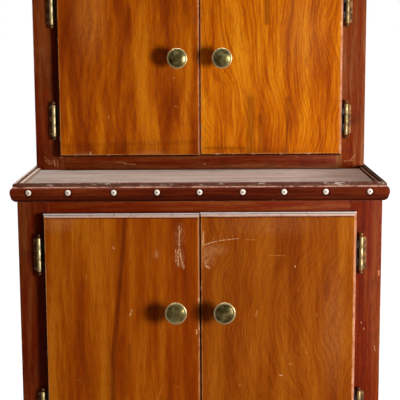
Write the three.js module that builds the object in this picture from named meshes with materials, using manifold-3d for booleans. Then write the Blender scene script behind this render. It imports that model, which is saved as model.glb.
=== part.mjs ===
// Antique wooden icebox: a provisions cabinet under a moulded ledge, and an ice cabinet set back on it.
// Millimetres, +Z up, front towards -Y, origin on the floor under the middle of the whole object.
import * as THREE from "three";
import { mergeVertices } from "three/addons/utils/BufferGeometryUtils.js";
import Module from "manifold-3d";

const wasm = await Module();
wasm.setup();

// Case
const CASE_WIDTH = 610;
const LOWER_DEPTH = 500;
const UPPER_DEPTH = 278;
const LEDGE_TOP = 570; // height of the ledge surface
const LEDGE_THICK = 26;
const UPPER_TOP = 980; // underside of the top board
const TOP_BOARD = { thick: 20, overhang: 10 };
const BOARD = 19; // side boards and face frame
const BACK_THICK = 12;
const STILE_WIDTH = 53;
const MULLION_WIDTH = 44;
const APRON_BOTTOM = 78; // lower edge of the lower case's bottom rail
const FLOOR_BOARD = { bottom: 84.5, top: 100.5 };
const PAN_SHELF = { bottom: 6, top: 18 };
const COVING = { drop: 24, reach: 9, steps: 5 };

// Lining
const CORK = 25;
const ZINC = 1;
const UPPER_CORK_FLOOR = 32.5;

// Ledge moulding, measured inwards from the nosing and upwards from the ledge surface
const OVERHANG = 10.5;
const RIM = { width: 20, height: 6, crownFront: 6.5, crownBack: 11, shoulder: 4.5, fall: 4 };
const QUARTER_ROUND = { reach: 9.5, height: 9, steps: 4 };
const QUIRK = 1.5;
const COPE = { width: 10, height: 7 }; // notch at the foot of the upper case that clears the rim
const MITRE_GAP = 0.2;

// Doors
const DOOR = { seam: 0.5, edge: 261.5, proud: 12, clearance: 0.5, overlap: 9 };
const BEVEL = { side: 3.5, top: 5.5, bottom: 3.5, seam: 1.5, depth: 5 };
const PLUG = { seam: 27, edge: 248, reach: 30, border: 13 };
const RIGHT_DOOR_LIFT = 1;
const KNOB = { fromCentre: 40.5, radius: 18.75, length: 30 };

// Hinges
const HINGE = { fromCentre: 270, proud: 5, height: 71.5, running: 0.3 };
const FRAME_LEAF = { height: 57, edge: 279.5, thick: 2, clip: 0.55 };
const DOOR_LEAF = { height: 57, thick: 1.5, front: 2, rear: 4, bridge: 1, wing: 42, wingEdge: 266 };
const KNUCKLE = { radius: 3.5, half: 9 };
const PIN = { radius: 1.6, ball: 3.4, neck: 1.5 };

// Fittings
const DRAIN = { y: 216, outer: 9, wall: 1.5, end: 70, clearance: 0.5 };
const AIR_SLOT = { x: 160, y: 171, width: 90, depth: 40 };
const SHELF = { z: 320, front: -190, back: 200, halfWidth: 259, frame: 3, cross: 2.5, wire: 1.8, wires: 15 };
const SHELF_LIFT = 0.3; // the wires lie a little above the cross bars
const BEAD = { width: 6, height: 6 };
const RACK = { halfWidth: 250, front: 32, back: 226, skid: 12, slat: 12, slats: 6, slatWidth: 20 };
const RACK_SKIDS = [-230, -90, 90, 230];
const RACK_HALVING = 1;
const PAN = { halfWidth: 200, front: -205, back: 240, bottom: 18.5, top: 62, wall: 1.5 };
const PAN_PULL = { halfWidth: 30, reach: 8, below: 6, thick: 2 };

const FACETS = { knob: 24, hinge: 12, pipe: 20, hole: 16, frame: 8, wire: 6 };

const HALF = CASE_WIDTH / 2;
const INSIDE = HALF - BOARD;
const FRONT = (DOOR.proud + KNOB.length - LOWER_DEPTH) / 2; // front plane of the lower face frame
const BACK = FRONT + LOWER_DEPTH;
const LINING_BACK = BACK - BACK_THICK;
const CASE_TOP = LEDGE_TOP - LEDGE_THICK;
const SIDES = [
  { hand: "left", s: -1 },
  { hand: "right", s: 1 },
];
const LOWER = {
  name: "lower",
  front: FRONT,
  bottom: 0,
  top: CASE_TOP,
  railBottom: APRON_BOTTOM,
  door: { bottom: 116.5, top: 525.5 },
  hingeInset: 70.5,
  knobZ: 360.5,
  coped: false,
  cork: { bottom: FLOOR_BOARD.top, top: CASE_TOP, floor: CORK },
};
const UPPER = {
  name: "upper",
  front: BACK - UPPER_DEPTH,
  bottom: LEDGE_TOP,
  top: UPPER_TOP,
  railBottom: LEDGE_TOP,
  door: { bottom: 595, top: 933 },
  hingeInset: 67,
  knobZ: 776,
  coped: true,
  cork: { bottom: LEDGE_TOP, top: UPPER_TOP, floor: UPPER_CORK_FLOOR },
};
const ICE_FLOOR = LEDGE_TOP + UPPER_CORK_FLOOR + ZINC;

const finish = (color, roughness, metalness = 0) =>
  new THREE.MeshStandardMaterial({ color, roughness, metalness });
const MAHOGANY = finish(0x5e2410, 0.45);
const VENEER = finish(0xa05212, 0.35);
const LEDGE_WOOD = finish(0xa08a7c, 0.7);
const PINE = finish(0xb08a5a, 0.8);
const CORK_BOARD = finish(0x8a6238, 0.95);
const ZINC_SHEET = finish(0xa9adb0, 0.45, 0.9);
const BRASS = finish(0xb08d4a, 0.35, 1);

const icebox = new THREE.Group();

function add(name, geometry, surface) {
  const mesh = new THREE.Mesh(geometry, surface);
  mesh.name = name;
  icebox.add(mesh);
}

// A block between two corners.
function block([x0, y0, z0], [x1, y1, z1]) {
  const box = new THREE.BoxGeometry(x1 - x0, y1 - y0, z1 - z0);
  return box.translate((x0 + x1) / 2, (y0 + y1) / 2, (z0 + z1) / 2);
}

// A block whose X range is given as two distances from the centre line on side s.
function sideBlock(s, near, far, [y0, y1], [z0, z1]) {
  const [x0, x1] = [s * near, s * far].sort((a, b) => a - b);
  return block([x0, y0, z0], [x1, y1, z1]);
}

// An upright cylinder on the axis (x, y) between two heights.
function post(x, y, z0, z1, radius, facets) {
  const cylinder = new THREE.CylinderGeometry(radius, radius, z1 - z0, facets);
  return cylinder.rotateX(Math.PI / 2).translate(x, y, (z0 + z1) / 2);
}

// Level rods of a grille, along X and along Y.
const rodX = (x0, x1, y, z, radius, facets) =>
  post(0, 0, x0, x1, radius, facets).rotateY(Math.PI / 2).translate(0, y, z);
const rodY = (x, y0, y1, z, radius, facets) =>
  post(0, 0, -y1, -y0, radius, facets).rotateX(Math.PI / 2).translate(x, 0, z);

// A turning: [radius, height] points from the bottom of its axis to the top, about +Y.
function turning(profile, facets) {
  return new THREE.LatheGeometry(profile.map(([r, h]) => new THREE.Vector2(r, h)), facets);
}

// A closed outline as a prism of the given length along +Z.
function prism(outline, length) {
  const shape = new THREE.Shape(outline.map(([a, b]) => new THREE.Vector2(a, b)));
  return new THREE.ExtrudeGeometry(shape, { depth: length, bevelEnabled: false });
}

const X = new THREE.Vector3(1, 0, 0);
const Y = new THREE.Vector3(0, 1, 0);
const Z = new THREE.Vector3(0, 0, 1);
const LENGTH_TO_X = new THREE.Matrix4().makeBasis(Y, Z, X);
const LENGTH_TO_MINUS_Y = new THREE.Matrix4().makeBasis(X, Z, Y.clone().negate());

// Prisms along X with an outline in (y, z), along Y with one in (x, z), and along Z with one in (x, y).
const prismX = (outline, x0, x1) =>
  prism(outline, x1 - x0).applyMatrix4(LENGTH_TO_X).translate(x0, 0, 0);
const prismY = (outline, y0, y1) =>
  prism(outline, y1 - y0).applyMatrix4(LENGTH_TO_MINUS_Y).translate(0, y1, 0);
const prismZ = (outline, z0, z1) => prism(outline, z1 - z0).translate(0, 0, z0);

// Points of an ellipse's arc about (a, b) between two angles counted in quarter turns.
function arc(a, b, ra, rb, from, to, steps) {
  return Array.from({ length: steps + 1 }, (_, i) => {
    const angle = ((from + ((to - from) * i) / steps) * Math.PI) / 2;
    return [a + ra * Math.cos(angle), b + rb * Math.sin(angle)];
  });
}

function toSolid(geometry) {
  const bare = geometry.clone();
  bare.deleteAttribute("normal");
  bare.deleteAttribute("uv");
  const merged = mergeVertices(bare, 1e-4);
  return new wasm.Manifold(
    new wasm.Mesh({
      numProp: 3,
      vertProperties: merged.attributes.position.array,
      triVerts: new Uint32Array(merged.index.array),
    }),
  );
}

function toGeometry(solid) {
  const mesh = solid.getMesh();
  const geometry = new THREE.BufferGeometry();
  geometry.setAttribute("position", new THREE.BufferAttribute(new Float32Array(mesh.vertProperties), 3));
  geometry.setIndex(new THREE.BufferAttribute(new Uint32Array(mesh.triVerts), 1));
  geometry.computeVertexNormals();
  return geometry;
}

const join = (...parts) => toGeometry(parts.map(toSolid).reduce((a, b) => a.add(b)));
const common = (a, b) => toGeometry(toSolid(a).intersect(toSolid(b)));
const cut = (geometry, ...tools) =>
  toGeometry(tools.map(toSolid).reduce((a, b) => a.subtract(b), toSolid(geometry)));

// Outline of a stile or side board on side s, with the cope at its outer foot.
function uprightOutline(s, inner, outer, { bottom, top, coped }) {
  const shoulder = s * (outer - COPE.width);
  const foot = coped
    ? [[shoulder, bottom], [shoulder, bottom + COPE.height], [s * outer, bottom + COPE.height]]
    : [[s * outer, bottom]];
  return [[s * inner, bottom], ...foot, [s * outer, top], [s * inner, top]];
}

function addCase(tier) {
  const { name, front, bottom, top } = tier;
  for (const { hand, s } of SIDES) {
    const side = uprightOutline(s, INSIDE, HALF, tier);
    const stile = uprightOutline(s, HALF - STILE_WIDTH, HALF, tier);
    add(`${name}_side_${hand}`, prismY(side, front + BOARD, BACK), MAHOGANY);
    add(`${name}_stile_${hand}`, prismY(stile, front, front + BOARD), MAHOGANY);
  }
  add(`${name}_back`, block([-INSIDE, LINING_BACK, bottom], [INSIDE, BACK, top]), PINE);
}

function addRails({ name, front, top, railBottom, door }) {
  const reach = HALF - STILE_WIDTH;
  const sill = door.bottom + DOOR.overlap;
  const lintel = door.top - DOOR.overlap;
  const behind = front + BOARD;
  const half = MULLION_WIDTH / 2;
  add(`${name}_bottom_rail`, block([-reach, front, railBottom], [reach, behind, sill]), MAHOGANY);
  add(`${name}_top_rail`, block([-reach, front, lintel], [reach, behind, top]), MAHOGANY);
  add(`${name}_mullion`, block([-half, front, sill], [half, behind, lintel]), MAHOGANY);
}

// Cutters for the drain pipe's hole, and for that with the two cold-air slots, between two heights.
function drainCutter(z0, z1) {
  return post(0, DRAIN.y, z0, z1, DRAIN.outer + DRAIN.clearance, FACETS.hole);
}

function passageCutters(z0, z1) {
  const { x, y, width, depth } = AIR_SLOT;
  const across = [y - depth / 2, y + depth / 2];
  const slots = SIDES.map(({ s }) => sideBlock(s, x - width / 2, x + width / 2, across, [z0, z1]));
  return [drainCutter(z0, z1), ...slots];
}

// The cork lining and the zinc liner inside it, both open to the front.
function addLining({ name, front, cork }) {
  const mouth = front + BOARD;
  const floor = cork.bottom + cork.floor;
  const ceiling = cork.top - CORK;
  const wall = INSIDE - CORK;
  const rear = LINING_BACK - CORK;
  const passages =
    name === "upper"
      ? passageCutters(cork.bottom - CORK, floor + CORK)
      : [drainCutter(cork.bottom - CORK, floor + CORK), ...passageCutters(ceiling - CORK, cork.top + CORK)];
  const outside = block([-INSIDE, mouth, cork.bottom], [INSIDE, LINING_BACK, cork.top]);
  const hollow = block([-wall, front, floor], [wall, rear, ceiling]);
  add(`${name}_cork_lining`, cut(outside, hollow, ...passages), CORK_BOARD);

  const tray = block([-wall, mouth, floor], [wall, rear, ceiling]);
  const room = block([ZINC - wall, front, floor + ZINC], [wall - ZINC, rear - ZINC, ceiling - ZINC]);
  const sheet = cut(tray, room, ...passages);
  const beads = name === "lower" ? shelfBeads(wall, rear) : [];
  add(`${name}_zinc_liner`, join(sheet, ...beads), ZINC_SHEET);
}

// The two folded beads of the lower liner that hold up the wire shelf.
function shelfBeads(wall, rear) {
  const inner = wall - ZINC - BEAD.width;
  const outer = wall - ZINC / 2;
  const along = [SHELF.front, rear - 2 * BEAD.width];
  return SIDES.map(({ s }) => sideBlock(s, inner, outer, along, [SHELF.z - BEAD.height, SHELF.z]));
}

// Cross-section of the ledge moulding: a quarter round under a flat nosing, a quirk, a rounded rim and a
// fall to the ledge surface, as [distance inwards from the nosing, height over the ledge surface].
function mouldingProfile() {
  const spring = QUARTER_ROUND.height - LEDGE_THICK;
  return [
    ...arc(OVERHANG, spring, QUARTER_ROUND.reach, QUARTER_ROUND.height, -1, -2, QUARTER_ROUND.steps),
    [0, spring + QUIRK],
    [0, -QUIRK],
    [QUIRK, -QUIRK / 3],
    ...arc(RIM.crownFront, RIM.height - RIM.fall, RIM.shoulder, RIM.fall, 2, 1, 3),
    ...arc(RIM.crownBack, RIM.height / 2, RIM.shoulder, RIM.height / 2, 1, 0, 3),
    [RIM.width, 0],
    [OVERHANG, 0],
  ];
}

// A length of moulding along +X with its nosing on y = 0. Each end is square (0) or mitred (1).
function mouldingLength(start, end, startMitre, endMitre) {
  const geometry = prismX(mouldingProfile(), 0, 1);
  const position = geometry.attributes.position;
  for (let i = 0; i < position.count; i++) {
    const inwards = position.getY(i);
    position.setX(i, position.getX(i) < 0.5 ? start + startMitre * inwards : end - endMitre * inwards);
  }
  return geometry;
}

function addLedge() {
  const board = block([-HALF, FRONT, CASE_TOP], [HALF, BACK, LEDGE_TOP]);
  add("ledge_board", cut(board, ...passageCutters(CASE_TOP - CORK, LEDGE_TOP + CORK)), LEDGE_WOOD);
  const edge = HALF + OVERHANG;
  const nosing = FRONT - OVERHANG;
  const corner = edge - MITRE_GAP;
  const start = nosing + MITRE_GAP;
  const front = mouldingLength(-corner, corner, 1, 1).translate(0, nosing, LEDGE_TOP);
  const right = mouldingLength(start, BACK, 1, 0).rotateZ(Math.PI / 2).translate(edge, 0, LEDGE_TOP);
  const left = mouldingLength(-BACK, -start, 0, 1).rotateZ(-Math.PI / 2).translate(-edge, 0, LEDGE_TOP);
  add("ledge_moulding_front", front, MAHOGANY);
  add("ledge_moulding_right", right, MAHOGANY);
  add("ledge_moulding_left", left, MAHOGANY);
}

// The top board, and the coved moulding under its overhang.
function addTop({ front, top }) {
  const { reach, drop, steps } = COVING;
  const low = top - drop;
  const cove = arc(reach, 0, reach, drop, 2, 1, steps);
  const right = cove.map(([out, up]) => [HALF + out, low + up]);
  const left = cove.map(([out, up]) => [-HALF - out, low + up]).reverse();
  const face = cove.map(([out, up]) => [front - out, low + up]);
  const edge = HALF + reach;
  const across = prismY([...left, ...right], front - reach, BACK);
  const along = prismX([...face, [BACK, top], [BACK, low]], -edge, edge);
  const upperCase = block([-HALF, front, low - drop], [HALF, BACK + reach, top + drop]);
  add("cornice_moulding", cut(common(across, along), upperCase), MAHOGANY);
  const lip = HALF + TOP_BOARD.overhang;
  const lid = block([-lip, front - TOP_BOARD.overhang, top], [lip, BACK, top + TOP_BOARD.thick]);
  add("top_board", lid, MAHOGANY);
}

// Outline of a slab whose front face is bevelled by a width at each end, as [across, depth] points.
function bevelledOutline([low, lowBevel], [high, highBevel], face, rear) {
  const step = face + BEVEL.depth;
  const front = [[high, step], [high - highBevel, face], [low + lowBevel, face], [low, step]];
  return [[low, rear], [high, rear], ...front];
}

function addDoor({ name, front, door, knobZ }, { hand, s }) {
  const lift = s > 0 ? RIGHT_DOOR_LIFT : 0;
  const face = front - DOOR.proud;
  const rear = front - DOOR.clearance;
  const z0 = door.bottom + lift;
  const z1 = door.top + lift;
  const ends = [[s * DOOR.seam, BEVEL.seam], [s * DOOR.edge, BEVEL.side]].sort((a, b) => a[0] - b[0]);
  const plan = prismZ(bevelledOutline(...ends, face, rear), z0, z1);
  const section = bevelledOutline([z0, BEVEL.bottom], [z1, BEVEL.top], face, rear).map(([z, y]) => [y, z]);
  add(`${name}_${hand}_door_slab`, common(plan, prismX(section, ends[0][0], ends[1][0])), VENEER);

  const depth = [rear, front + PLUG.reach];
  const plug = sideBlock(s, PLUG.seam, PLUG.edge, depth, [z0 + PLUG.border, z1 - PLUG.border]);
  add(`${name}_${hand}_door_plug`, plug, ZINC_SHEET);

  const knob = turning(knobProfile(), FACETS.knob).rotateX(Math.PI);
  add(`${name}_${hand}_knob`, knob.translate(s * KNOB.fromCentre, face, knobZ), BRASS);
}

// A knob from its seat on the door to the crown of its shallow dome.
function knobProfile() {
  const { radius, length } = KNOB;
  const rim = length * 0.75;
  return [
    [0, 0],
    [radius * 0.6, 0],
    [radius * 0.6, length * 0.08],
    [radius * 0.37, length * 0.22],
    [radius * 0.37, length * 0.46],
    [radius * 0.64, length * 0.6],
    [radius * 0.96, length * 0.67],
    [radius, rim],
    ...arc(0, rim, radius * 0.97, length - rim, 0.25, 0.8, 4),
    [0, length],
  ];
}

// One hinge: the leaf on the stile with its two knuckles and pin, and the leaf on the door's edge.
function addHinge({ name, front }, { hand, s }, level, z) {
  const axis = { x: s * HINGE.fromCentre, y: front - HINGE.proud };
  const prefix = `${name}_${hand}_${level}_hinge`;
  const half = FRAME_LEAF.height / 2;
  const inner = HINGE.fromCentre + KNUCKLE.radius + DOOR.clearance;
  const leafDepth = [front - FRAME_LEAF.thick, front];
  const outline = leafOutline(inner, FRAME_LEAF.edge, half).map(([x, up]) => [s * x, z + up]);
  const frameParts = [prismY(outline, ...leafDepth), hingePin(axis, z)];
  for (const way of [-1, 1]) {
    const span = [z + way * (KNUCKLE.half + HINGE.running), z + way * half].sort((a, b) => a - b);
    frameParts.push(sideBlock(s, HINGE.fromCentre - KNUCKLE.radius, inner + 1, leafDepth, span));
    frameParts.push(post(axis.x, axis.y, ...span, KNUCKLE.radius, FACETS.hinge));
  }
  add(`${prefix}_frame_leaf`, join(...frameParts), BRASS);

  const plateFace = DOOR.edge + DOOR_LEAF.thick;
  const plateDepth = [axis.y - DOOR_LEAF.front, axis.y + DOOR_LEAF.rear];
  const plateSpan = [z - DOOR_LEAF.height / 2, z + DOOR_LEAF.height / 2];
  const plate = sideBlock(s, DOOR.edge, plateFace, plateDepth, plateSpan);
  const bridgeDepth = [axis.y - DOOR_LEAF.bridge, axis.y + DOOR_LEAF.bridge];
  const wingSpan = [z - DOOR_LEAF.wing / 2, z + DOOR_LEAF.wing / 2];
  const wing = sideBlock(s, plateFace - 1, DOOR_LEAF.wingEdge, bridgeDepth, wingSpan);
  const knuckleSpan = [z - KNUCKLE.half, z + KNUCKLE.half];
  const bridge = sideBlock(s, plateFace - 1, HINGE.fromCentre - PIN.radius, bridgeDepth, knuckleSpan);
  const knuckle = post(axis.x, axis.y, ...knuckleSpan, KNUCKLE.radius, FACETS.hinge);
  const bore = post(axis.x, axis.y, ...plateSpan, PIN.radius + HINGE.running, FACETS.hinge);
  add(`${prefix}_door_leaf`, cut(join(knuckle, bridge, wing, plate), bore), BRASS);
}

// The frame leaf's outline about its middle, with its outer corners clipped at 45 degrees.
function leafOutline(inner, outer, half) {
  const clip = (outer - inner) * FRAME_LEAF.clip;
  return [
    [inner, -half],
    [outer - clip, -half],
    [outer, clip - half],
    [outer, half - clip],
    [outer - clip, half],
    [inner, half],
  ];
}

// The pin with a ball finial at each end.
function hingePin({ x, y }, z) {
  const ball = HINGE.height / 2 - PIN.ball;
  const profile = [
    [0, -HINGE.height / 2],
    ...arc(0, -ball, PIN.ball, PIN.ball, -0.8, 0.65, 4),
    [PIN.radius, PIN.neck - ball],
    [PIN.radius, ball - PIN.neck],
    ...arc(0, ball, PIN.ball, PIN.ball, -0.65, 0.8, 4),
    [0, HINGE.height / 2],
  ];
  return turning(profile, FACETS.hinge).rotateX(Math.PI / 2).translate(x, y, z);
}

function addBase({ front }) {
  const { bottom, top } = FLOOR_BOARD;
  const floor = block([-INSIDE, front + BOARD, bottom], [INSIDE, LINING_BACK, top]);
  add("lower_floor_board", cut(floor, drainCutter(bottom - CORK, top + CORK)), PINE);
  const shelf = block([-INSIDE, front + BOARD, PAN_SHELF.bottom], [INSIDE, LINING_BACK, PAN_SHELF.top]);
  add("pan_shelf", shelf, PINE);
}

function addDripPan() {
  const { halfWidth, front, back, bottom, top, wall } = PAN;
  const inner = halfWidth - wall;
  const outside = block([-halfWidth, front, bottom], [halfWidth, back, top]);
  const basin = block([-inner, front + wall, bottom + wall], [inner, back - wall, top + wall]);
  const pullBottom = top - PAN_PULL.below;
  const pull = block(
    [-PAN_PULL.halfWidth, front - PAN_PULL.reach, pullBottom],
    [PAN_PULL.halfWidth, front + wall, pullBottom + PAN_PULL.thick],
  );
  add("drip_pan", join(cut(outside, basin), pull), ZINC_SHEET);
}

function addDrainPipe() {
  const { y, outer, wall, end } = DRAIN;
  const inner = outer - wall;
  const profile = [[inner, end], [outer, end], [outer, ICE_FLOOR], [inner, ICE_FLOOR], [inner, end]];
  add("drain_pipe", turning(profile, FACETS.pipe).rotateX(Math.PI / 2).translate(0, y, 0), ZINC_SHEET);
}

function addWireShelf() {
  const { z, front, back, halfWidth, frame, cross, wire, wires } = SHELF;
  const level = z + frame + SHELF_LIFT;
  const edge = halfWidth - frame;
  const rods = SIDES.map(({ s }) => rodY(s * edge, front, back, level, frame, FACETS.frame));
  for (const y of [front + frame, (front + back) / 2, back - frame]) {
    rods.push(rodX(-edge, edge, y, level, cross, FACETS.frame));
  }
  for (let i = 1; i <= wires; i++) {
    const x = edge * ((2 * i) / (wires + 1) - 1);
    rods.push(rodY(x, front + 1, back - 1, level + SHELF_LIFT, wire, FACETS.wire));
  }
  add("wire_shelf", join(...rods), ZINC_SHEET);
}

function addIceRack() {
  const { halfWidth, front, back, skid, slat, slats, slatWidth } = RACK;
  const seat = ICE_FLOOR + skid;
  const skids = RACK_SKIDS.map((x) => block([x - skid / 2, front, ICE_FLOOR], [x + skid / 2, back, seat]));
  const pitch = (back - front - slatWidth) / (slats - 1);
  const boards = Array.from({ length: slats }, (_, i) => {
    const y = front + i * pitch;
    return block([-halfWidth, y, seat - RACK_HALVING], [halfWidth, y + slatWidth, seat + slat]);
  });
  add("ice_rack", join(...skids, ...boards), PINE);
}

for (const tier of [LOWER, UPPER]) {
  addCase(tier);
  addRails(tier);
  addLining(tier);
  for (const side of SIDES) {
    addDoor(tier, side);
    addHinge(tier, side, "top", tier.door.top - tier.hingeInset);
    addHinge(tier, side, "bottom", tier.door.bottom + tier.hingeInset);
  }
}
addLedge();
addTop(UPPER);
addBase(LOWER);
addDripPan();
addDrainPipe();
addWireShelf();
addIceRack();

export default icebox;
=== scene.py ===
import math

import bpy
import numpy as np
from mathutils import Matrix, Vector


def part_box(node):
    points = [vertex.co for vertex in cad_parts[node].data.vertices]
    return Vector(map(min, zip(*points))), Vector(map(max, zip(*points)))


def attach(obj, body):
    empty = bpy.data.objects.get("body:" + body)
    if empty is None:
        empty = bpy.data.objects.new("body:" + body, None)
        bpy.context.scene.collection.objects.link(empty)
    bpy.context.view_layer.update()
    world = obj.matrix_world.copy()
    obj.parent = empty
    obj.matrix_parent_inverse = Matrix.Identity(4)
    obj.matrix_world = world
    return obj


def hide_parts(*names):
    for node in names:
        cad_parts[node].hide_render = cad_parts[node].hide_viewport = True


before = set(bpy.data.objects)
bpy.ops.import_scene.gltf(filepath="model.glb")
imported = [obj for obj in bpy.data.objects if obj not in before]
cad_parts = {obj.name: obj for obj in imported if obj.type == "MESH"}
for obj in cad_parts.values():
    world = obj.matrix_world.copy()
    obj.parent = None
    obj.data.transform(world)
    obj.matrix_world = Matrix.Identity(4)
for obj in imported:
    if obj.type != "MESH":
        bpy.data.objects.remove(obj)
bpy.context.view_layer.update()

# Antique wooden icebox. Metres, front towards -Y, +Z up. Every shape is placed by the frame's own boxes.
MM = 0.001
TIERS = ("lower", "upper")
HANDS = {"left": -1, "right": 1}
CABINET = "cabinet"


# ---------------------------------------------------------------- shapes

def grid_faces(rows, cols, loop=False):
    """Quads between neighbouring points of a grid numbered row by row; loop closes each row on itself."""
    i, j = np.meshgrid(np.arange(rows - 1), np.arange(cols if loop else cols - 1), indexing="ij")
    k = (j + 1) % cols
    quads = np.stack([i * cols + j, i * cols + k, (i + 1) * cols + k, (i + 1) * cols + j], -1)
    return quads.reshape(-1, 4)


def solid_of_rings(rings):
    """Rings (rows, columns, 3) that turn counterclockwise about their path, skinned, with a flat face at
    each end."""
    rows, cols = rings.shape[:2]
    ring = np.arange(cols)
    ends = [ring[::-1].tolist(), (ring + (rows - 1) * cols).tolist()]
    return rings.reshape(-1, 3), grid_faces(rows, cols, loop=True).tolist() + ends


def together(*shapes):
    """Several shapes as one: their points one after another, their faces renumbered."""
    points, faces, count = [], [], 0
    for shape_points, shape_faces in shapes:
        points.append(shape_points)
        faces += [[index + count for index in face] for face in shape_faces]
        count += len(shape_points)
    return np.concatenate(points), faces


# How (a, b) of an outline and the length l along it become x, y, z, with the outline counterclockwise.
AXES = {
    "x": lambda a, b, l: np.stack([l, a, b], -1),
    "y": lambda a, b, l: np.stack([a, -l, b], -1),
    "z": lambda a, b, l: np.stack([a, b, l], -1),
}


def eased_outline(corners, ease, steps):
    """Points and outward directions of an outline whose convex corners are arcs of radius ease.

    A point d under the skin is point - d * direction: on an arc the direction is the arc's own normal,
    on an inner corner it is the mitre, (n1 + n2) / (1 + n1.n2)."""
    corners = np.asarray(corners, float)
    following = np.roll(corners, -1, 0)
    if np.sum(corners[:, 0] * following[:, 1] - following[:, 0] * corners[:, 1]) < 0:
        corners = corners[::-1]
    after = np.roll(corners, -1, 0) - corners
    after /= np.linalg.norm(after, axis=1, keepdims=True)
    before = np.roll(after, 1, 0)
    n1, n2 = (np.stack([e[:, 1], -e[:, 0]], 1) for e in (before, after))
    mitre = (n1 + n2) / (1 + np.sum(n1 * n2, 1, keepdims=True))
    convex = before[:, 0] * after[:, 1] - before[:, 1] * after[:, 0] > 0
    share = np.linspace(0, 1, steps + 1)[None, :, None]
    normal = n1[:, None] * (1 - share) + n2[:, None] * share
    normal /= np.linalg.norm(normal, axis=2, keepdims=True)
    arcs = (corners - ease * mitre)[:, None] + ease * normal
    point = np.where(convex[:, None, None], arcs, corners[:, None])
    direction = np.where(convex[:, None, None], normal, mitre[:, None])
    keep = convex[:, None] | (np.arange(steps + 1) == 0)
    return point[keep], direction[keep]


def eased_prism(axis, corners, low, high, ease, steps=3):
    """A prism along an axis with every convex arris rounded: near an end, at the angle t of a quarter turn,
    the section is ease * (1 - sin t) under the skin and ease * (1 - cos t) from the end."""
    if axis == "y":
        low, high = -high, -low
    point, direction = eased_outline(corners, ease, steps)
    turn = np.linspace(0, math.pi / 2, steps + 1)
    depth, along = ease * (1 - np.sin(turn)), ease * (1 - np.cos(turn))
    depth = np.concatenate([depth, depth[::-1]])
    level = np.concatenate([low + along, high - along[::-1]])
    section = point[None] - depth[:, None, None] * direction[None]
    length = np.broadcast_to(level[:, None], section.shape[:2])
    return solid_of_rings(AXES[axis](section[..., 0], section[..., 1], length))


def eased_box(low, high, ease, steps=3):
    """A block between two corners with every arris rounded."""
    (x0, y0, z0), (x1, y1, z1) = low, high
    return eased_prism("y", [(x0, z0), (x1, z0), (x1, z1), (x0, z1)], y0, y1, ease, steps)


def turned(profile, centre, axis="z", segments=48):
    """A turning: (radius, height) points carried round an axis; radius 0 at an end is a closed pole."""
    profile = np.asarray(profile, float)
    body = profile[profile[:, 0] > 0]
    angle = np.linspace(0, 2 * math.pi, segments, endpoint=False)
    a, b = body[:, :1] * np.cos(angle), body[:, :1] * np.sin(angle)
    rings = AXES[axis](a, b, np.broadcast_to(body[:, 1:], a.shape)) + np.asarray(centre)
    faces = grid_faces(len(body), segments, loop=True).tolist()
    points, ring = rings.reshape(-1, 3), np.arange(segments)
    for (radius, height), first in ((profile[0], True), (profile[-1], False)):
        edge = ring if first else ring + (len(body) - 1) * segments
        if radius > 0:
            faces.append((edge[::-1] if first else edge).tolist())
            continue
        pole = AXES[axis](np.zeros(1), np.zeros(1), np.array([height])) + np.asarray(centre)
        ahead = np.roll(edge, -1)
        tip = np.full(segments, len(points))
        fan = (tip, ahead, edge) if first else (tip, edge, ahead)
        faces += np.stack(fan, 1).tolist()
        points = np.concatenate([points, pole])
    return points, faces


def dome(radius, height, steps=6):
    """(radius, height) points of a low dome: a quarter ellipse on a flat base."""
    turn = np.linspace(0, math.pi / 2, steps)
    curve = [(radius * math.cos(t), height * math.sin(t)) for t in turn[:-1]]
    return [(0, 0), (radius, 0), *curve, (0, height)]


def rod(start, end, radius, sides=12):
    """A straight round rod whose ends are rounded over the last half radius."""
    start, end = np.asarray(start, float), np.asarray(end, float)
    length = np.linalg.norm(end - start)
    along = (end - start) / length
    across = np.cross(along, [0, 0, 1] if abs(along[2]) < 0.9 else [1, 0, 0])
    across /= np.linalg.norm(across)
    up = np.cross(along, across)
    angle = np.linspace(0, 2 * math.pi, sides, endpoint=False)
    circle = np.cos(angle)[:, None] * across + np.sin(angle)[:, None] * up
    reach = np.array([0, 0.2, 0.5]) * radius
    level = np.concatenate([reach, length - reach[::-1]])
    width = np.array([0.5, 0.85, 1, 1, 0.85, 0.5]) * radius
    rings = start + level[:, None, None] * along + width[:, None, None] * circle[None]
    return solid_of_rings(rings)


def ripple(a, b, length, seed, waves=9):
    """Smooth unevenness from -1 to 1: a sum of slanted sine waves of about one length, with seeded phases."""
    rng = np.random.default_rng(seed)
    total = np.zeros(np.broadcast(a, b).shape)
    for heading, phase, stretch in rng.uniform(0, 1, (waves, 3)):
        k = 2 * math.pi / (length * (0.5 + stretch))
        total += np.sin(k * (a * math.cos(heading * math.pi) + b * math.sin(heading * math.pi)) + 6.3 * phase)
    return total / waves


# ---------------------------------------------------------------- pieces

GRAIN_ORDER = {"x": (1, 2, 0), "y": (2, 0, 1), "z": (0, 1, 2)}


def board_values(points, along, seed, tone=0.0, box=None):
    """What a wooden finish reads: the place in the plank with the grain along Z, the distances to the low and
    high faces of its box, and a tone of its own."""
    low, high = (points.min(0), points.max(0)) if box is None else (np.array(box[0]), np.array(box[1]))
    away = np.random.default_rng(seed).uniform(-4, 4, 3)
    return {
        "grain": points[:, GRAIN_ORDER[along]] + away,
        "from_low": points - low,
        "from_high": high - points,
        "tone": np.full(len(points), tone),
    }


def joined_values(values):
    """The values of several boards that make one piece, one after another."""
    return {key: np.concatenate([value[key] for value in values]) for key in values[0]}


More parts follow.
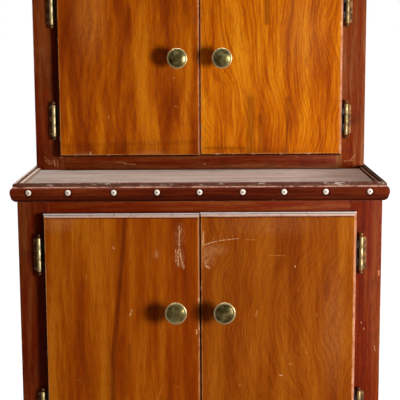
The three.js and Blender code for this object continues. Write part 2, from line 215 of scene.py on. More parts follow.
def piece(name, shape, material, body, replaces=(), values=None, smooth=40):
    """One finished object at the origin, with its place in its mesh, riding on a body."""
    points, faces = shape
    mesh = bpy.data.meshes.new(name)
    mesh.from_pydata(points.tolist(), [], faces)
    for key, value in (values or {}).items():
        value = np.ascontiguousarray(value, np.float32)
        kind, field = ("FLOAT_VECTOR", "vector") if value.ndim == 2 else ("FLOAT", "value")
        mesh.attributes.new(key, kind, "POINT").data.foreach_set(field, value.ravel())
    mesh.materials.append(material)
    mesh.shade_smooth()
    mesh.set_sharp_from_angle(angle=math.radians(smooth))
    made = bpy.data.objects.new(name, mesh)
    bpy.context.scene.collection.objects.link(made)
    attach(made, body)
    if replaces:
        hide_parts(*replaces)
    return made


# ---------------------------------------------------------------- node helpers

def srgb(code):
    """A colour written as 0xRRGGBB, as the linear one that a shader takes."""
    channel = np.array([code >> 16, code >> 8 & 255, code & 255]) / 255
    linear = np.where(channel <= 0.04045, channel / 12.92, ((channel + 0.055) / 1.055) ** 2.4)
    return (*linear.tolist(), 1.0)


def shades(*codes):
    """Several colours, darkest first."""
    return [srgb(code) for code in codes]


def stops(*places_and_codes):
    """The stops of a colour ramp, from places and colours by turns."""
    return list(zip(places_and_codes[::2], shades(*places_and_codes[1::2])))


class Value:
    """The output of a node. Arithmetic between two of them, or with a number, adds a Math node."""

    def __init__(self, tree, socket):
        self.tree, self.socket, self.node = tree, socket, socket.node

    def __abs__(self):
        return self.tree.math("ABSOLUTE", self)


for sign, operation in {"add": "ADD", "sub": "SUBTRACT", "mul": "MULTIPLY", "truediv": "DIVIDE"}.items():
    setattr(Value, f"__{sign}__", lambda a, b, operation=operation: a.tree.math(operation, a, b))
    setattr(Value, f"__r{sign}__", lambda a, b, operation=operation: a.tree.math(operation, b, a))


class Tree:
    """Adds nodes to a tree. Each method returns the output of the node that it adds."""

    def __init__(self, tree):
        self.nodes, self.links = tree.nodes, tree.links

    def put(self, socket, value):
        value = value.socket if isinstance(value, Value) else value
        if isinstance(value, bpy.types.NodeSocket):
            self.links.new(value, socket)
        elif value is not None:
            socket.default_value = value

    def node(self, kind, inputs=None, output=0, **settings):
        made = self.nodes.new("ShaderNode" + kind)
        for key, value in settings.items():
            setattr(made, key, value)
        for key, value in (inputs or {}).items():
            self.put(made.inputs[key], value)
        return Value(self, made.outputs[output])

    def math(self, operation, *values, clamp=False):
        return self.node("Math", dict(enumerate(values)), operation=operation, use_clamp=clamp)

    def vector(self, operation, *values, output=0):
        return self.node("VectorMath", dict(enumerate(values)), output, operation=operation)

    def join(self, x, y, z):
        return self.node("CombineXYZ", {0: x, 1: y, 2: z})

    def split(self, vector):
        return [Value(self, out) for out in self.node("SeparateXYZ", {0: vector}).node.outputs]

    def scale(self, vector, factor):
        out = self.vector("SCALE", vector)
        self.put(out.node.inputs["Scale"], factor)
        return out

    def over(self, colour, *masks_and_codes):
        """Blends colours over one, each by its mask: masks and colours by turns."""
        for mask, code in zip(masks_and_codes[::2], masks_and_codes[1::2]):
            colour = self.blend(mask, colour, srgb(code))
        return colour

    def spot(self):
        """The place in the piece, whose origin is that of the whole icebox."""
        return self.node("TexCoord", output="Object")

    def attribute(self, name, output="Fac"):
        return self.node("Attribute", output=output, attribute_name=name)

    def noise(self, vector, scale=1.0, detail=3.0, roughness=0.55, distortion=0.0):
        if isinstance(scale, tuple):
            vector, scale = self.vector("MULTIPLY", vector, scale), 1.0
        inputs = {"Vector": vector, "Scale": scale, "Detail": detail, "Roughness": roughness,
                  "Distortion": distortion}
        return self.node("TexNoise", inputs, "Fac")

    def level(self, value, low, high, to_low=0.0, to_high=1.0):
        """The value from low to high, eased at both ends, put on the range to_low to to_high."""
        inputs = {0: value, 1: low, 2: high, 3: to_low, 4: to_high}
        return self.node("MapRange", inputs, interpolation_type="SMOOTHSTEP")

    def fall(self, value, low, high):
        """1 up to low, eased down to 0 at high."""
        return self.level(value, low, high, 1.0, 0.0)

    def blend(self, factor, first, second):
        """The first colour where the factor is 0, the second where it is 1."""
        return self.node("Mix", {0: factor, 6: first, 7: second}, 2, data_type="RGBA")

    def ramp(self, factor, stops):
        """Colours along a value: stops are (place, colour)."""
        out = self.node("ValToRGB", {0: factor})
        elements = out.node.color_ramp.elements
        while len(elements) < len(stops):
            elements.new(0.5)
        for element, (place, colour) in zip(elements, stops):
            element.position, element.color = place, colour
        return out

    def effect(self, group, output, **inputs):
        """Places a shared effect; returns one of its outputs, or all by name when output is None."""
        made = self.nodes.new("ShaderNodeGroup")
        made.node_tree = group
        for key, value in inputs.items():
            self.put(made.inputs[key], value)
        values = {out.name: Value(self, out) for out in made.outputs}
        return values if output is None else values[output]


def shared_effect(name, vectors, numbers, gives):
    """Makes a shader node group from a function that takes the tree and the inputs, and returns what it
    gives. The inputs are the vectors and then the numbers; each of the three is a string of names."""
    def build(function):
        group = bpy.data.node_groups.new(name, "ShaderNodeTree")
        sockets = ((vectors, "INPUT", "Vector"), (numbers, "INPUT", "Float"), (gives, "OUTPUT", "Float"))
        for names, way, kind in sockets:
            for key in names.split():
                group.interface.new_socket(name=key, in_out=way, socket_type="NodeSocket" + kind)
        tree = Tree(group)
        start, end = group.nodes.new("NodeGroupInput"), group.nodes.new("NodeGroupOutput")
        inputs = [Value(tree, start.outputs[key]) for key in (vectors + " " + numbers).split()]
        for key, result in zip(gives.split(), function(tree, *inputs)):
            tree.put(end.inputs[key], result)
        return group
    return build


@shared_effect("Wood Figure", "Position", "Width Length Wander Rings Bend", "Broad Streak Fine Pores Lines")
def wood_figure(t, position, width, length, wander, rings, bend):
    """Grain along Z. The place is shifted sideways by slow noise (wander), then noise stretched along the
    grain gives broad bands, streaks and fine fibres; growth lines are long thin noise, bent by slower
    noise."""
    slow = t.noise(position, (5.0, 5.0, 2.2), detail=2)
    drift = (slow - 0.5) * wander
    place = t.vector("ADD", position, t.join(drift, drift, 0.0))
    x, y, z = t.split(place)
    run = z / length

    def stretched(times, detail):
        across = times / width
        return t.noise(t.scale(t.join(x, y, run), across), detail=detail, roughness=0.6)

    broad, streak, fine = stretched(1.0, 2), stretched(4.5, 3), stretched(24.0, 2)
    pore = t.noise(t.join(x * 1500, y * 1500, z * 55), detail=1)
    curve = t.noise(position, (7.0, 7.0, 4.5), detail=2, roughness=0.45)
    bent = (x + curve * bend) / rings
    lines = t.noise(t.join(bent, y, z * 7), detail=2, roughness=0.6)
    return broad, streak, fine, t.level(pore, 0.58, 0.7), t.level(lines, 0.3, 0.7)


@shared_effect("Worn Arris", "Low High Position", "Reach", "Distance Wear")
def worn_arris(t, low, high, position, reach):
    """Distance to the nearest arris of a block: the middle one of the three distances to its faces. Wear
    is 1 there and fades over the reach, which noise makes longer and shorter."""
    a, b, c = t.split(t.vector("MINIMUM", low, high))
    distance = t.math("MAXIMUM", t.math("MINIMUM", a, b), t.math("MINIMUM", t.math("MAXIMUM", a, b), c))
    coarse = t.noise(position, 45.0, detail=3, roughness=0.7)
    fine = t.noise(position, 260.0, detail=2)
    broken = t.level(coarse, 0.42, 0.75, 0.0, 1.6) + fine * 0.5
    wear = broken * reach - distance
    return distance, t.level(wear / reach, 0.0, 0.35)


@shared_effect("Scratch", "Position Start End", "Width Breaks", "Mark")
def scratch(t, position, start, end, width, breaks):
    """1 on the straight line from start to end and 0 beyond a width from it. Noise makes the line as
    crooked and as broken as breaks says, from 0 to 1."""
    jitter = (t.noise(position, 120.0, detail=3) - 0.5) * (breaks * 0.005)
    x, _, z = t.split(t.vector("SUBTRACT", position, start))
    x = x + jitter
    along = t.vector("SUBTRACT", end, start)
    flat = t.join(x, 0.0, z)
    share = t.math("DIVIDE", t.vector("DOT_PRODUCT", flat, along, output="Value"),
                   t.vector("DOT_PRODUCT", along, along, output="Value"), clamp=True)
    nearest = t.scale(along, share)
    gap = t.vector("DISTANCE", flat, nearest, output="Value")
    gone = t.level(t.noise(position, 340.0, detail=2), 0.36, 0.6, 0.88, 0.0) * breaks
    return [t.fall(gap / width, 0.2, 1.0) * (1 - gone)]


@shared_effect("Rubbed Patch", "Position Centre Reach", "", "Mark")
def rubbed_patch(t, position, centre, reach):
    """A worn haze: 1 at the centre, falling to 0 at the reach along each axis, broken up by noise."""
    gap = t.vector("LENGTH", t.vector("DIVIDE", t.vector("SUBTRACT", position, centre), reach),
                   output="Value")
    threads = t.noise(position, (420.0, 420.0, 150.0), detail=4, roughness=0.7)
    return [t.fall(gap, 0.1, 1.0) * t.level(threads, 0.36, 0.66, 0.15, 1.0)]


@shared_effect("Nicks", "Position", "Spacing Share Size", "Mark")
def nicks(t, position, spacing, share, size):
    """Small scattered dents: round a share of a scatter of points, a spot of about the size."""
    scaled = t.scale(position, 1 / spacing)
    cell = t.node("TexVoronoi", {"Vector": scaled, "Scale": 1.0}, "Distance")
    chance = t.split(cell.node.outputs["Color"])[0]
    edge = cell + (t.noise(position, 700.0) - 0.5) * 0.12
    spot = t.fall(edge * (spacing / size), 0.4, 1.0)
    return [spot * t.math("LESS_THAN", chance, share)]


@shared_effect("Tarnish", "Position", "Size", "Patches Spots Brushing")
def tarnish(t, position, size):
    """Cloudy patches of about the size, small dark spots, and fine brushing."""
    scaled = t.scale(position, 1 / size)
    patches = t.noise(scaled, 1.0, detail=4, roughness=0.65, distortion=0.6)
    spots = t.noise(scaled, 7.0, detail=2)
    brushing = t.noise(scaled, 30.0, detail=3, roughness=0.7)
    return t.level(patches, 0.3, 0.7), t.level(spots, 0.6, 0.72), brushing


@shared_effect("Dust", "Position", "Amount", "Mask")
def dust(t, position, amount):
    """Dust and rubbed varnish on faces that look up, thicker and thinner in patches."""
    up = t.split(t.node("NewGeometry", output="Normal"))[2]
    patchy = t.noise(position, (30.0, 30.0, 90.0), detail=4, roughness=0.7)
    return [t.level(up, 0.35, 0.8) * t.level(patchy, 0.2, 0.6) * amount]


def finish(name, build, **constants):
    """A material whose build function returns what varies over the surface, by socket name; the constants
    are set on the shader itself. Height, where it is given, is (height, distance) for a bump."""
    material = bpy.data.materials.new(name)
    material.use_nodes = True
    shader = material.node_tree.nodes["Principled BSDF"]
    t = Tree(material.node_tree)
    varying = build(t)
    height = varying.pop("Height", None)
    if height is not None:
        varying["Normal"] = t.node("Bump", {"Height": height[0], "Distance": height[1], "Strength": 1.0})
    for key, value in {**varying, **constants}.items():
        t.put(shader.inputs[key.replace("_", " ")], value)
    return material


# ---------------------------------------------------------------- finishes

def timber(t, position, sizes, colours, pore_colour, mixing=(0.45, 0.35, 0.2), tone=0.0, line_share=0.0,
           span=0.2):
    """Wood colour and relief: the figure's bands, streaks and fibres add up to a place on the colour ramp."""
    wood = t.effect(wood_figure, None, Position=position, **sizes)
    total = wood["Broad"] * mixing[0]
    for key, share in (("Streak", mixing[1]), ("Fine", mixing[2]), ("Lines", line_share)):
        total = total + wood[key] * share
    middle = 0.5 * (sum(mixing) + line_share)
    place = t.level(total, middle - span, middle + span) + tone
    colour = t.ramp(place, colours)
    colour = t.blend(wood["Pores"] * 0.45, colour, pore_colour)
    relief = wood["Fine"] * 0.5 - wood["Pores"] * 0.7
    return colour, relief, wood


def figure(width, length, wander, rings, bend):
    """The sizes of a wood figure, by the names that the shared effect has for them."""
    return {"Width": width, "Length": length, "Wander": wander, "Rings": rings, "Bend": bend}


MAHOGANY_FIGURE = figure(0.030, 20.0, 0.02, 0.006, 0.02)


def line_mark(t, spot, line, breaks):
    """A scratch on a front, from a line (start x, start z, end x, end z, width) in millimetres."""
    x0, z0, x1, z1, width = (value * MM for value in line)
    return t.effect(scratch, "Mark", Position=spot, Start=(x0, 0.0, z0), End=(x1, 0.0, z1), Width=width,
                    Breaks=breaks)


# Scratches and dents on the front frames: start x, start z, end x, end z and width in mm, strength.
FRAME_MARKS = [
    (-156.8, 584.2, -138.2, 582.3, 1, 0.7), (-141.9, 581.2, -119.6, 579.2, 1, 0.7),
    (-272.3, 588.6, -270.8, 577.3, 1.6, 0.8), (-265.8, 588.5, -265.2, 575.4, 1.4, 0.5),
    (-289.9, 594.3, -275.3, 582, 1.1, 0.8), (-289.1, 588, -280, 580.5, 1.2, 0.7),
    (280, 585, 288, 595, 1.6, 0.5), (268, 584, 286, 585, 1.6, 0.4), (-259.4, 593.6, -255.7, 595.5, 2.4, 0.9),
    (-207.5, 596, -200.1, 595, 1.6, 0.7), (300.6, 424, 301.4, 416, 1.6, 0.9),
    (305, 311, 305.2, 304, 1.6, 0.9), (296.3, 293, 298.2, 284.2, 1.2, 0.7),
    (272.6, 335.2, 274, 333, 1.2, 0.7), (277.9, 324.7, 278.1, 322.5, 1.2, 0.7),
    (-304.5, 308, -304, 296, 1.2, 0.6),
]


def case_wood(t):
    """The case: the timber figure, then marks, dark blotches, worn arrises, nicks, dust on upward faces."""
    place = t.attribute("grain", "Vector")
    spot = t.spot()
    colours = stops(0, 0x5e1400, 0.4, 0x7c2401, 0.75, 0x8c4216, 1, 0x9a5c36)
    colour, relief, _ = timber(t, place, MAHOGANY_FIGURE, colours, srgb(0x280804), tone=t.attribute("tone"))
    edge = t.effect(worn_arris, None, Low=t.attribute("from_low", "Vector"),
                    High=t.attribute("from_high", "Vector"), Position=spot, Reach=0.0016)
    nick = t.effect(nicks, "Mark", Position=spot, Spacing=0.045, Share=0.3, Size=0.0028)
    patch = t.noise(spot, 14.0, detail=4, roughness=0.65)
    in_front = t.fall(t.split(t.node("TexCoord", output="Normal"))[1], -0.9, -0.6)
    for *line, strength in FRAME_MARKS:
        mark = line_mark(t, spot, line, 0.8)
        colour = t.over(colour, mark * strength * in_front, 0xdea670)
    colour = t.over(colour, t.level(patch, 0.5, 0.75, 0.0, 0.45), 0x340802, edge["Wear"] * 0.6, 0xa86846,
                    nick * 0.55, 0xce9670, t.effect(dust, "Mask", Position=spot, Amount=0.45), 0xa89686)
    rough = t.level(patch, 0.3, 0.7, 0.34, 0.5) + edge["Wear"] * 0.2
    return {"Base Color": colour, "Roughness": rough, "Height": (relief, 0.00025)}


CASE_WOOD = finish("case_wood", case_wood, Specular_IOR_Level=0.09)
TOP_LINE, ARRIS_LINE = 0.0024, 0.0009  # how far in from a bevel its dark line and its worn arris lie


def veneer(name, colours, sizes, marks, patches, line_share, span=0.19, depth=0.0002):
    """A door's veneer: its figure, then patches, marks, nicks, bevels, arris and chips blended over it in
    turn. marks are lists of (start x, start z, end x, end z and width in mm, strength) by colour, patches
    lists of (x, z, reach x and reach z in mm, strength) by colour. By the distance in from the bevel's
    inner edge (margin), a bevel is pale as far as its bare_and_lit amount goes: rubbed bare wood, laid
    most thickly on the bevels that face the light, so partly painted light. It is nearly black as far as
    its painted_shade amount goes: painted shade on the bevels that face away from the light. The top one
    is a ramp over its width, from a pale band through a dark line to a pinkish band, with a dark line
    under it."""
    def build(t):
        place = t.attribute("grain", "Vector")
        spot = t.spot()
        colour, relief, wood = timber(t, place, sizes, colours, srgb(0x5a1e00), mixing=(0.56, 0.28, 0.16),
                                      tone=t.attribute("tone"), line_share=line_share, span=span)
        for patch_colour, group in patches:
            for x, z, reach_x, reach_z, strength in group:
                patch = t.effect(rubbed_patch, "Mark", Position=spot, Centre=(x * MM, 0.0, z * MM),
                                 Reach=(reach_x * MM, 9.0, reach_z * MM))
                colour = t.blend(patch * strength, colour, patch_colour)
        for mark_colour, group in marks:
            for *line, strength in group:
                mark = line_mark(t, spot, line, 0.1 if mark_colour is BROWN else 1.0)
                colour = t.blend(mark * strength, colour, mark_colour)
        nick = t.effect(nicks, "Mark", Position=spot, Spacing=0.05, Share=0.3, Size=0.0026)
        colour = t.over(colour, nick * 0.4, 0xe29c54)
        margin, share, bare_and_lit, painted_shade, crown, chip = (t.attribute(key) for key in (
            "margin", "share", "bare_and_lit", "painted_shade", "crown", "chip"))
        ragged = t.noise(spot, 300.0, detail=3, roughness=0.7) - 0.5
        place_in = margin + ragged * 0.0016 - bare_and_lit * 0.0011
        lip = t.fall(place_in, -0.0003, 0.0005)
        # Painted shade: bevels that face away from the light are painted nearly black, by their painted_shade
        # amount.
        colour = t.over(colour, lip * painted_shade, 0x1e0500)
        bare_wood = t.ramp(t.noise(spot, 80.0, detail=4, roughness=0.7),
                           stops(0.3, 0x96583a, 0.5, 0xc48668, 0.72, 0xe0b096))
        # Rubbed bare wood, laid most on the bevels that face the light: partly painted light.
        colour = t.blend(lip * bare_and_lit, colour, bare_wood)
        # The top bevel's band: its pale bands are dust and rubbed wood, brightened almost to white as painted
        # light on the upward bevel.
        band = t.ramp(share + ragged * 0.06, stops(0.02, 0x784c3c, 0.1, 0xfff2ec, 0.34, 0xfff2ec,
                                                   0.42, 0x603c2e, 0.5, 0x603c2e, 0.58, 0xfadecc,
                                                   0.84, 0xf4d0ba, 1, 0xdeb298))
        scuffs = t.level(t.noise(spot, 110.0, detail=4, roughness=0.75), 0.54, 0.7, 0.0, 0.55)
        band = t.over(band, scuffs, 0xa07a64)
        colour = t.blend(lip * crown, colour, band)
        under = t.level(abs(margin - TOP_LINE), 0.0006, 0.0014, 0.75, 0.0)
        colour = t.over(colour, under * crown, 0x501e04)
        worn = t.level(t.noise(spot, 40.0, detail=3, roughness=0.7), 0.38, 0.55, 0.15, 0.85)
        arris = t.fall(abs(margin + ragged * 0.0012 - ARRIS_LINE), 0.0004, 0.0011)
        colour = t.over(colour, arris * worn * (1 - crown), 0xcc8646, chip * 0.85, 0xecc89c)
        rough = t.level(wood["Streak"], 0.3, 0.7, 0.36, 0.48) + lip * 0.25
        return {"Base Color": colour, "Roughness": rough, "Height": (relief, depth)}
    return finish(name, build, Specular_IOR_Level=0.06)


BROWN = srgb(0x5c1802)
PALE = srgb(0xe2a056)
CREAM = srgb(0xf4ca92)
HAZE = srgb(0xcc8c54)
LOWER_COLOURS = stops(0, 0x7a2800, 0.35, 0x983e00, 0.7, 0xae5403, 1, 0xc46c0e)
LOWER_RIGHT_COLOURS = stops(0, 0x7a2e02, 0.35, 0x984606, 0.7, 0xae5c0c, 1, 0xc2721a)
UPPER_LEFT_COLOURS = stops(0, 0x7e2c00, 0.35, 0x9e4300, 0.7, 0xbe5e02, 1, 0xd87c0e)
UPPER_RIGHT_COLOURS = stops(0, 0xa04000, 0.35, 0xc25e00, 0.7, 0xdc7a04, 1, 0xf09818)
DOOR_FINISH = {
    "lower_left": veneer("lower_left_veneer", LOWER_COLOURS,
        figure(0.045, 14.0, 0.02, 0.02, 0.05), [
            (BROWN, [
                (-124, 525, -131.7, 431, 6, 0.6), (-132.3, 425, -139.7, 355, 5.5, 0.65),
                (-140.3, 349, -148.7, 279, 6, 0.62), (-149, 272, -150, 206, 7.5, 0.55),
                (-150, 203, -147, 118, 7, 0.4), (-205, 340, -192, 230, 9, 0.25),
                (-120, 300, -128, 215, 7, 0.25),
            ]),
            (CREAM, [
                (-34.5, 504, -33.6, 491, 1.4, 1), (-33.6, 491, -34.8, 470, 1.2, 0.9),
                (-33.1, 474, -36.2, 460, 1.1, 0.85), (-39.8, 464, -40.4, 443, 1.1, 0.8),
                (-36.5, 460, -36.1, 436, 1.2, 1), (-33.1, 464, -32.2, 450, 1.2, 1),
                (-31.6, 455, -29.4, 433, 1.2, 1), (-28.3, 443, -26.7, 431, 1.1, 0.8),
                (-71.6, 464, -73.4, 450, 1, 0.5), (-30, 508, -31, 496, 0.8, 0.5),
                (-118, 352, -115, 361, 1.5, 0.9), (-6, 326, -6, 320, 2.2, 0.9),
                (-145, 469, -144, 466, 2, 0.7),
            ]),
            (PALE, [
                (-62, 231, -75, 204, 0.8, 0.7), (-95, 300, -88, 284, 0.7, 0.4),
                (-176, 445, -175, 442, 1.8, 0.6), (-190, 421, -190, 414, 1.4, 0.6),
                (-212, 240, -204, 236, 0.8, 0.4),
            ]),
        ], [
            (HAZE, [
                (-235, 512, 45, 26, 0.4), (-34, 486, 14, 30, 0.4), (-34, 450, 12, 22, 0.6),
                (-72, 456, 10, 12, 0.4),
            ]),
            (BROWN, [(-150, 250, 24, 90, 0.3)]),
        ], 0.05),
    "lower_right": veneer("lower_right_veneer", LOWER_RIGHT_COLOURS,
        figure(0.060, 12.0, 0.05, 0.0034, 0.22), [
            (CREAM, [
                (6.1, 471.8, 17, 475.2, 1.3, 0.9), (17, 475.2, 35.3, 479.3, 1.2, 0.85),
                (35.3, 479.3, 64, 482.6, 1.1, 0.75), (6.6, 493.9, 5.3, 470, 1.7, 0.8),
                (8.2, 444, 11, 435, 1.6, 0.6), (11, 435, 15, 432.6, 2.6, 0.7),
                (134, 246, 138, 245.5, 1.6, 0.7), (159, 436, 160, 433, 1.6, 0.8),
            ]),
            (PALE, [
                (75.3, 480.8, 93.7, 479.9, 1, 0.6), (115.4, 453.4, 142.2, 453.3, 0.9, 0.6),
                (23.7, 487, 23.7, 480.2, 0.8, 0.6), (33.7, 488.7, 34.5, 481.9, 0.8, 0.6),
                (45.4, 488.6, 45.4, 481.8, 0.8, 0.5), (54, 489, 54.5, 482, 0.8, 0.5),
                (94, 350, 96, 358.3, 2, 0.85), (149, 266, 154, 265.5, 1.6, 0.6), (66, 229, 69, 228, 1.6, 0.6),
                (196, 353, 197, 349, 1.4, 0.6), (168, 299, 172, 297, 1.2, 0.5),
                (178, 287, 181, 285, 1.2, 0.5),
            ]),
        ], [
            (HAZE, [
                (24, 464, 30, 14, 0.7), (12, 450, 20, 22, 0.7), (120, 505, 120, 26, 0.22),
                (225, 330, 30, 160, 0.25),
            ]),
        ], 0.10, span=0.26),
    "upper_left": veneer("upper_left_veneer", UPPER_LEFT_COLOURS,
        figure(0.050, 9.0, 0.05, 0.014, 0.12), [
            (BROWN, [(-258, 616, -130, 619, 6, 0.2), (-130, 619, -8, 622, 7, 0.22)]),
            (CREAM, [(-168, 671, -169, 667, 1.6, 0.7), (-202, 604, -202, 600, 2, 0.8)]),
            (PALE, [(-89, 622, -88, 618, 1.4, 0.6), (-104, 648, -103, 640, 1, 0.5)]),
        ], [
            (BROWN, [(-125, 606, 140, 16, 0.3)]),
            (HAZE, [(-90, 600, 50, 10, 0.55), (-215, 600, 30, 8, 0.5)]),
            (PALE, [(-200, 850, 45, 110, 0.22)]),
        ], 0.07),
    "upper_right": veneer("upper_right_veneer", UPPER_RIGHT_COLOURS,
        figure(0.048, 9.0, 0.05, 0.0030, 0.13), [
            (BROWN, [
                (94, 700, 93, 597, 13, 0.4), (112, 668, 114, 597, 10, 0.3), (162, 700, 163, 645, 7, 0.4),
                (163, 637, 158, 597, 9, 0.25), (9, 611, 83, 610.5, 4, 0.35), (123, 900, 123, 840, 8.5, 0.45),
            ]),
        ], [
            (BROWN, [(130, 603, 130, 12, 0.35)]),
            (PALE, [(190, 820, 60, 120, 0.2)]),
        ], 0.12, depth=0.00015),
}


def ledge_wood(t):
    """The bare grey ledge: a fine figure along X, stains of slow noise, and brown towards the right end."""
    spot = t.spot()
    x, y, z = t.split(spot)
    place = t.join(y, z, x)
    colours = stops(0, 0x927e72, 0.3, 0xb09e92, 0.7, 0xc2b2a7, 1, 0xd2c6bc)
    colour, relief, _ = timber(t, place, figure(0.009, 30.0, 0.004, 0.006, 0.03), colours, srgb(0x786254))
    stain = t.noise(spot, (9.0, 22.0, 9.0), detail=4, roughness=0.6)
    colour = t.over(colour, t.level(stain, 0.5, 0.7, 0.0, 0.45), 0x8c7662)
    corner = t.level(x + stain * 0.12, 0.22, 0.37, 0.0, 0.75)
    colour = t.over(colour, corner, 0x684a36)
    return {"Base Color": colour, "Roughness": t.level(stain, 0.3, 0.7, 0.6, 0.8), "Height": (relief, 0.0003)}


LEDGE_WOOD = finish("ledge_wood", ledge_wood, Specular_IOR_Level=0.2)


def moulding_wood(t):
    """The ledge moulding by the distance in from its nosing and the height over the ledge: a dark red
    nosing with painted shade under it, a pale broken arris, and a brown rubbed rim whose steps carry
    painted light and shade, which painted_light picks: lit on the left return, shaded on the right one.
    The tack_shadow attribute is the painted shadow round a tack."""
    spot = t.spot()
    colours = stops(0, 0x3a0a00, 0.4, 0x561602, 0.75, 0x722808, 1, 0x92421a)
    grain = t.attribute("grain", "Vector")
    colour, relief, _ = timber(t, grain, MAHOGANY_FIGURE, colours, srgb(0x240600), tone=t.attribute("tone"))
    inwards, height, painted_light = t.attribute("inwards"), t.attribute("height"), t.attribute("painted_light")
    # Painted shade on the nosing's underside, where it turns down to the rail.
    colour = t.over(colour, t.level(height, -0.022, -0.017, 0.55, 0.0), 0x280802)
    ragged = t.noise(spot, 160.0, detail=4, roughness=0.75)
    shake = (ragged - 0.5) * 0.003
    rim = t.level(height + shake, -0.0006, 0.001)
    thread = (inwards + shake * 0.5) / 0.02
    # Ramps across the rim's width. The left and right ones are painted light and shade: the left return's
    # steps that face right are painted pale as lit, the right return's steps that face left are painted dark
    # as shaded.
    front = t.ramp(thread, stops(0.2, 0x78503e, 0.27, 0x4a281c, 0.33, 0x845e4c, 0.45, 0x96725e,
                                 0.52, 0x603a2a, 0.62, 0x987460, 0.72, 0x785240, 0.8, 0x422618,
                                 0.86, 0xb09480, 0.95, 0x70503e))
    left = t.ramp(thread, stops(0.22, 0x281a12, 0.33, 0x2c1e16, 0.37, 0xe2cebc, 0.52, 0xdcc4b0,
                                0.57, 0x382216, 0.66, 0x3c261a, 0.71, 0xe4d2c0, 0.84, 0xceb49e,
                                0.89, 0x583a28, 0.97, 0xb29c8a))
    right = t.ramp(thread, stops(0.18, 0x968e82, 0.28, 0x8c8072, 0.33, 0x28180c, 0.48, 0x322010,
                                 0.54, 0x70563c, 0.6, 0x2a1a0c, 0.72, 0x28160a, 0.79, 0x967052,
                                 0.86, 0x603c26, 0.92, 0x140802))
    blotch = t.noise(spot, (70.0, 70.0, 160.0), detail=4, roughness=0.75)
    front = t.over(front, t.level(blotch, 0.5, 0.6, 0.0, 0.75), 0x5c2212,
                   t.level(blotch, 0.34, 0.44, 0.8, 0.0), 0xd4beac)
    # painted_light blends the front ramp towards the lit left one or the shaded right one.
    rubbed_and_painted_light = t.blend(t.level(painted_light, 0.2, 0.6), front, left)
    rubbed_and_painted_light = t.blend(t.fall(painted_light, -0.6, -0.2), rubbed_and_painted_light, right)
    colour = t.blend(rim, colour, rubbed_and_painted_light)
    arris = t.fall(abs(height + 0.0008 + shake * 0.45), 0.0005, 0.0014)
    outer = t.fall(inwards, 0.0052, 0.0062)
    worn = t.level(t.noise(spot, 38.0, detail=4, roughness=0.75), 0.40, 0.54, 0.12, 0.95)
    colour = t.over(colour, arris * outer * worn, 0xd49e84)
    quirk = t.level(abs(height + 0.0168), 0.0006, 0.0017, 0.5, 0.0)
    # A dark line in the quirk, then the painted shadow round each tack.
    colour = t.over(colour, quirk, 0x1e0600, t.attribute("tack_shadow") * 0.8, 0x180400)
    nick = t.effect(nicks, "Mark", Position=spot, Spacing=0.03, Share=0.3, Size=0.0026)
    colour = t.over(colour, nick * 0.45, 0xc48c68)
    rough = t.level(rim, 0.0, 1.0, 0.4, 0.62)
    return {"Base Color": colour, "Roughness": rough, "Height": (relief + ragged * 0.8, 0.0003)}


MOULDING_WOOD = finish("moulding_wood", moulding_wood, Specular_IOR_Level=0.09)


def plain_timber(name, colours, pores, sizes, along=None, depth=0.0003):
    """Unpolished wood: the figure, stains and dents. With along, a whole board's grain runs on that axis;
    without, it reads its planks."""
    def build(t):
        spot = t.spot()
        if along is None:
            place = t.attribute("grain", "Vector")
        else:
            axes = t.split(spot)
            place = t.join(*[axes[index] for index in GRAIN_ORDER[along]])
        tone = t.attribute("tone") if along is None else 0.0
        colour, relief, _ = timber(t, place, sizes, colours, pores, tone=tone, line_share=0.2)
        stain = t.noise(spot, 8.0, detail=4, roughness=0.6)
        colour = t.over(colour, t.level(stain, 0.5, 0.75, 0.0, 0.5), 0x6e4e2e)
        nick = t.effect(nicks, "Mark", Position=spot, Spacing=0.05, Share=0.25, Size=0.004)
        colour = t.over(colour, nick * 0.5, 0x54361e)
        return {"Base Color": colour, "Roughness": t.level(stain, 0.3, 0.7, 0.62, 0.85),
                "Height": (relief, depth)}
    return finish(name, build)


PINE_STOPS = stops(0, 0x92683e, 0.4, 0xa87d4e, 0.75, 0xb68c5c, 1, 0xc49e6e)
PINE_FIGURE = figure(0.045, 30.0, 0.01, 0.007, 0.02)
BACK_PINE = plain_timber("back_pine", PINE_STOPS, srgb(0x684222), PINE_FIGURE)
SHELF_PINE = plain_timber("shelf_pine", PINE_STOPS, srgb(0x684222), PINE_FIGURE, along="x")
RACK_STOPS = stops(0, 0x80705c, 0.4, 0x9e8c74, 0.75, 0xb2a086, 1, 0xc6b69c)
RACK_WOOD = plain_timber("rack_wood", RACK_STOPS, srgb(0x564636), PINE_FIGURE)


def cork_board(t):
    """Pressed cork: each cell of a scatter has a brown of its own and dark, sunken edges."""
    spot = t.spot()
    grain = t.node("TexVoronoi", {"Vector": spot, "Scale": 260.0}, "Color")
    shade = t.split(grain)[0]
    cell = t.node("TexVoronoi", {"Vector": spot, "Scale": 260.0}, "Distance", feature="DISTANCE_TO_EDGE")
    colour = t.ramp(shade, stops(0, 0x54361e, 0.4, 0x7e5632, 0.8, 0xa07448, 1, 0xb68c5e))
    colour = t.over(colour, t.level(cell, 0.02, 0.12, 0.7, 0.0), 0x3c2616)
    return {"Base Color": colour, "Roughness": t.level(shade, 0.0, 1.0, 0.85, 1.0), "Height": (cell, 0.0008)}


CORK = finish("cork_board", cork_board)


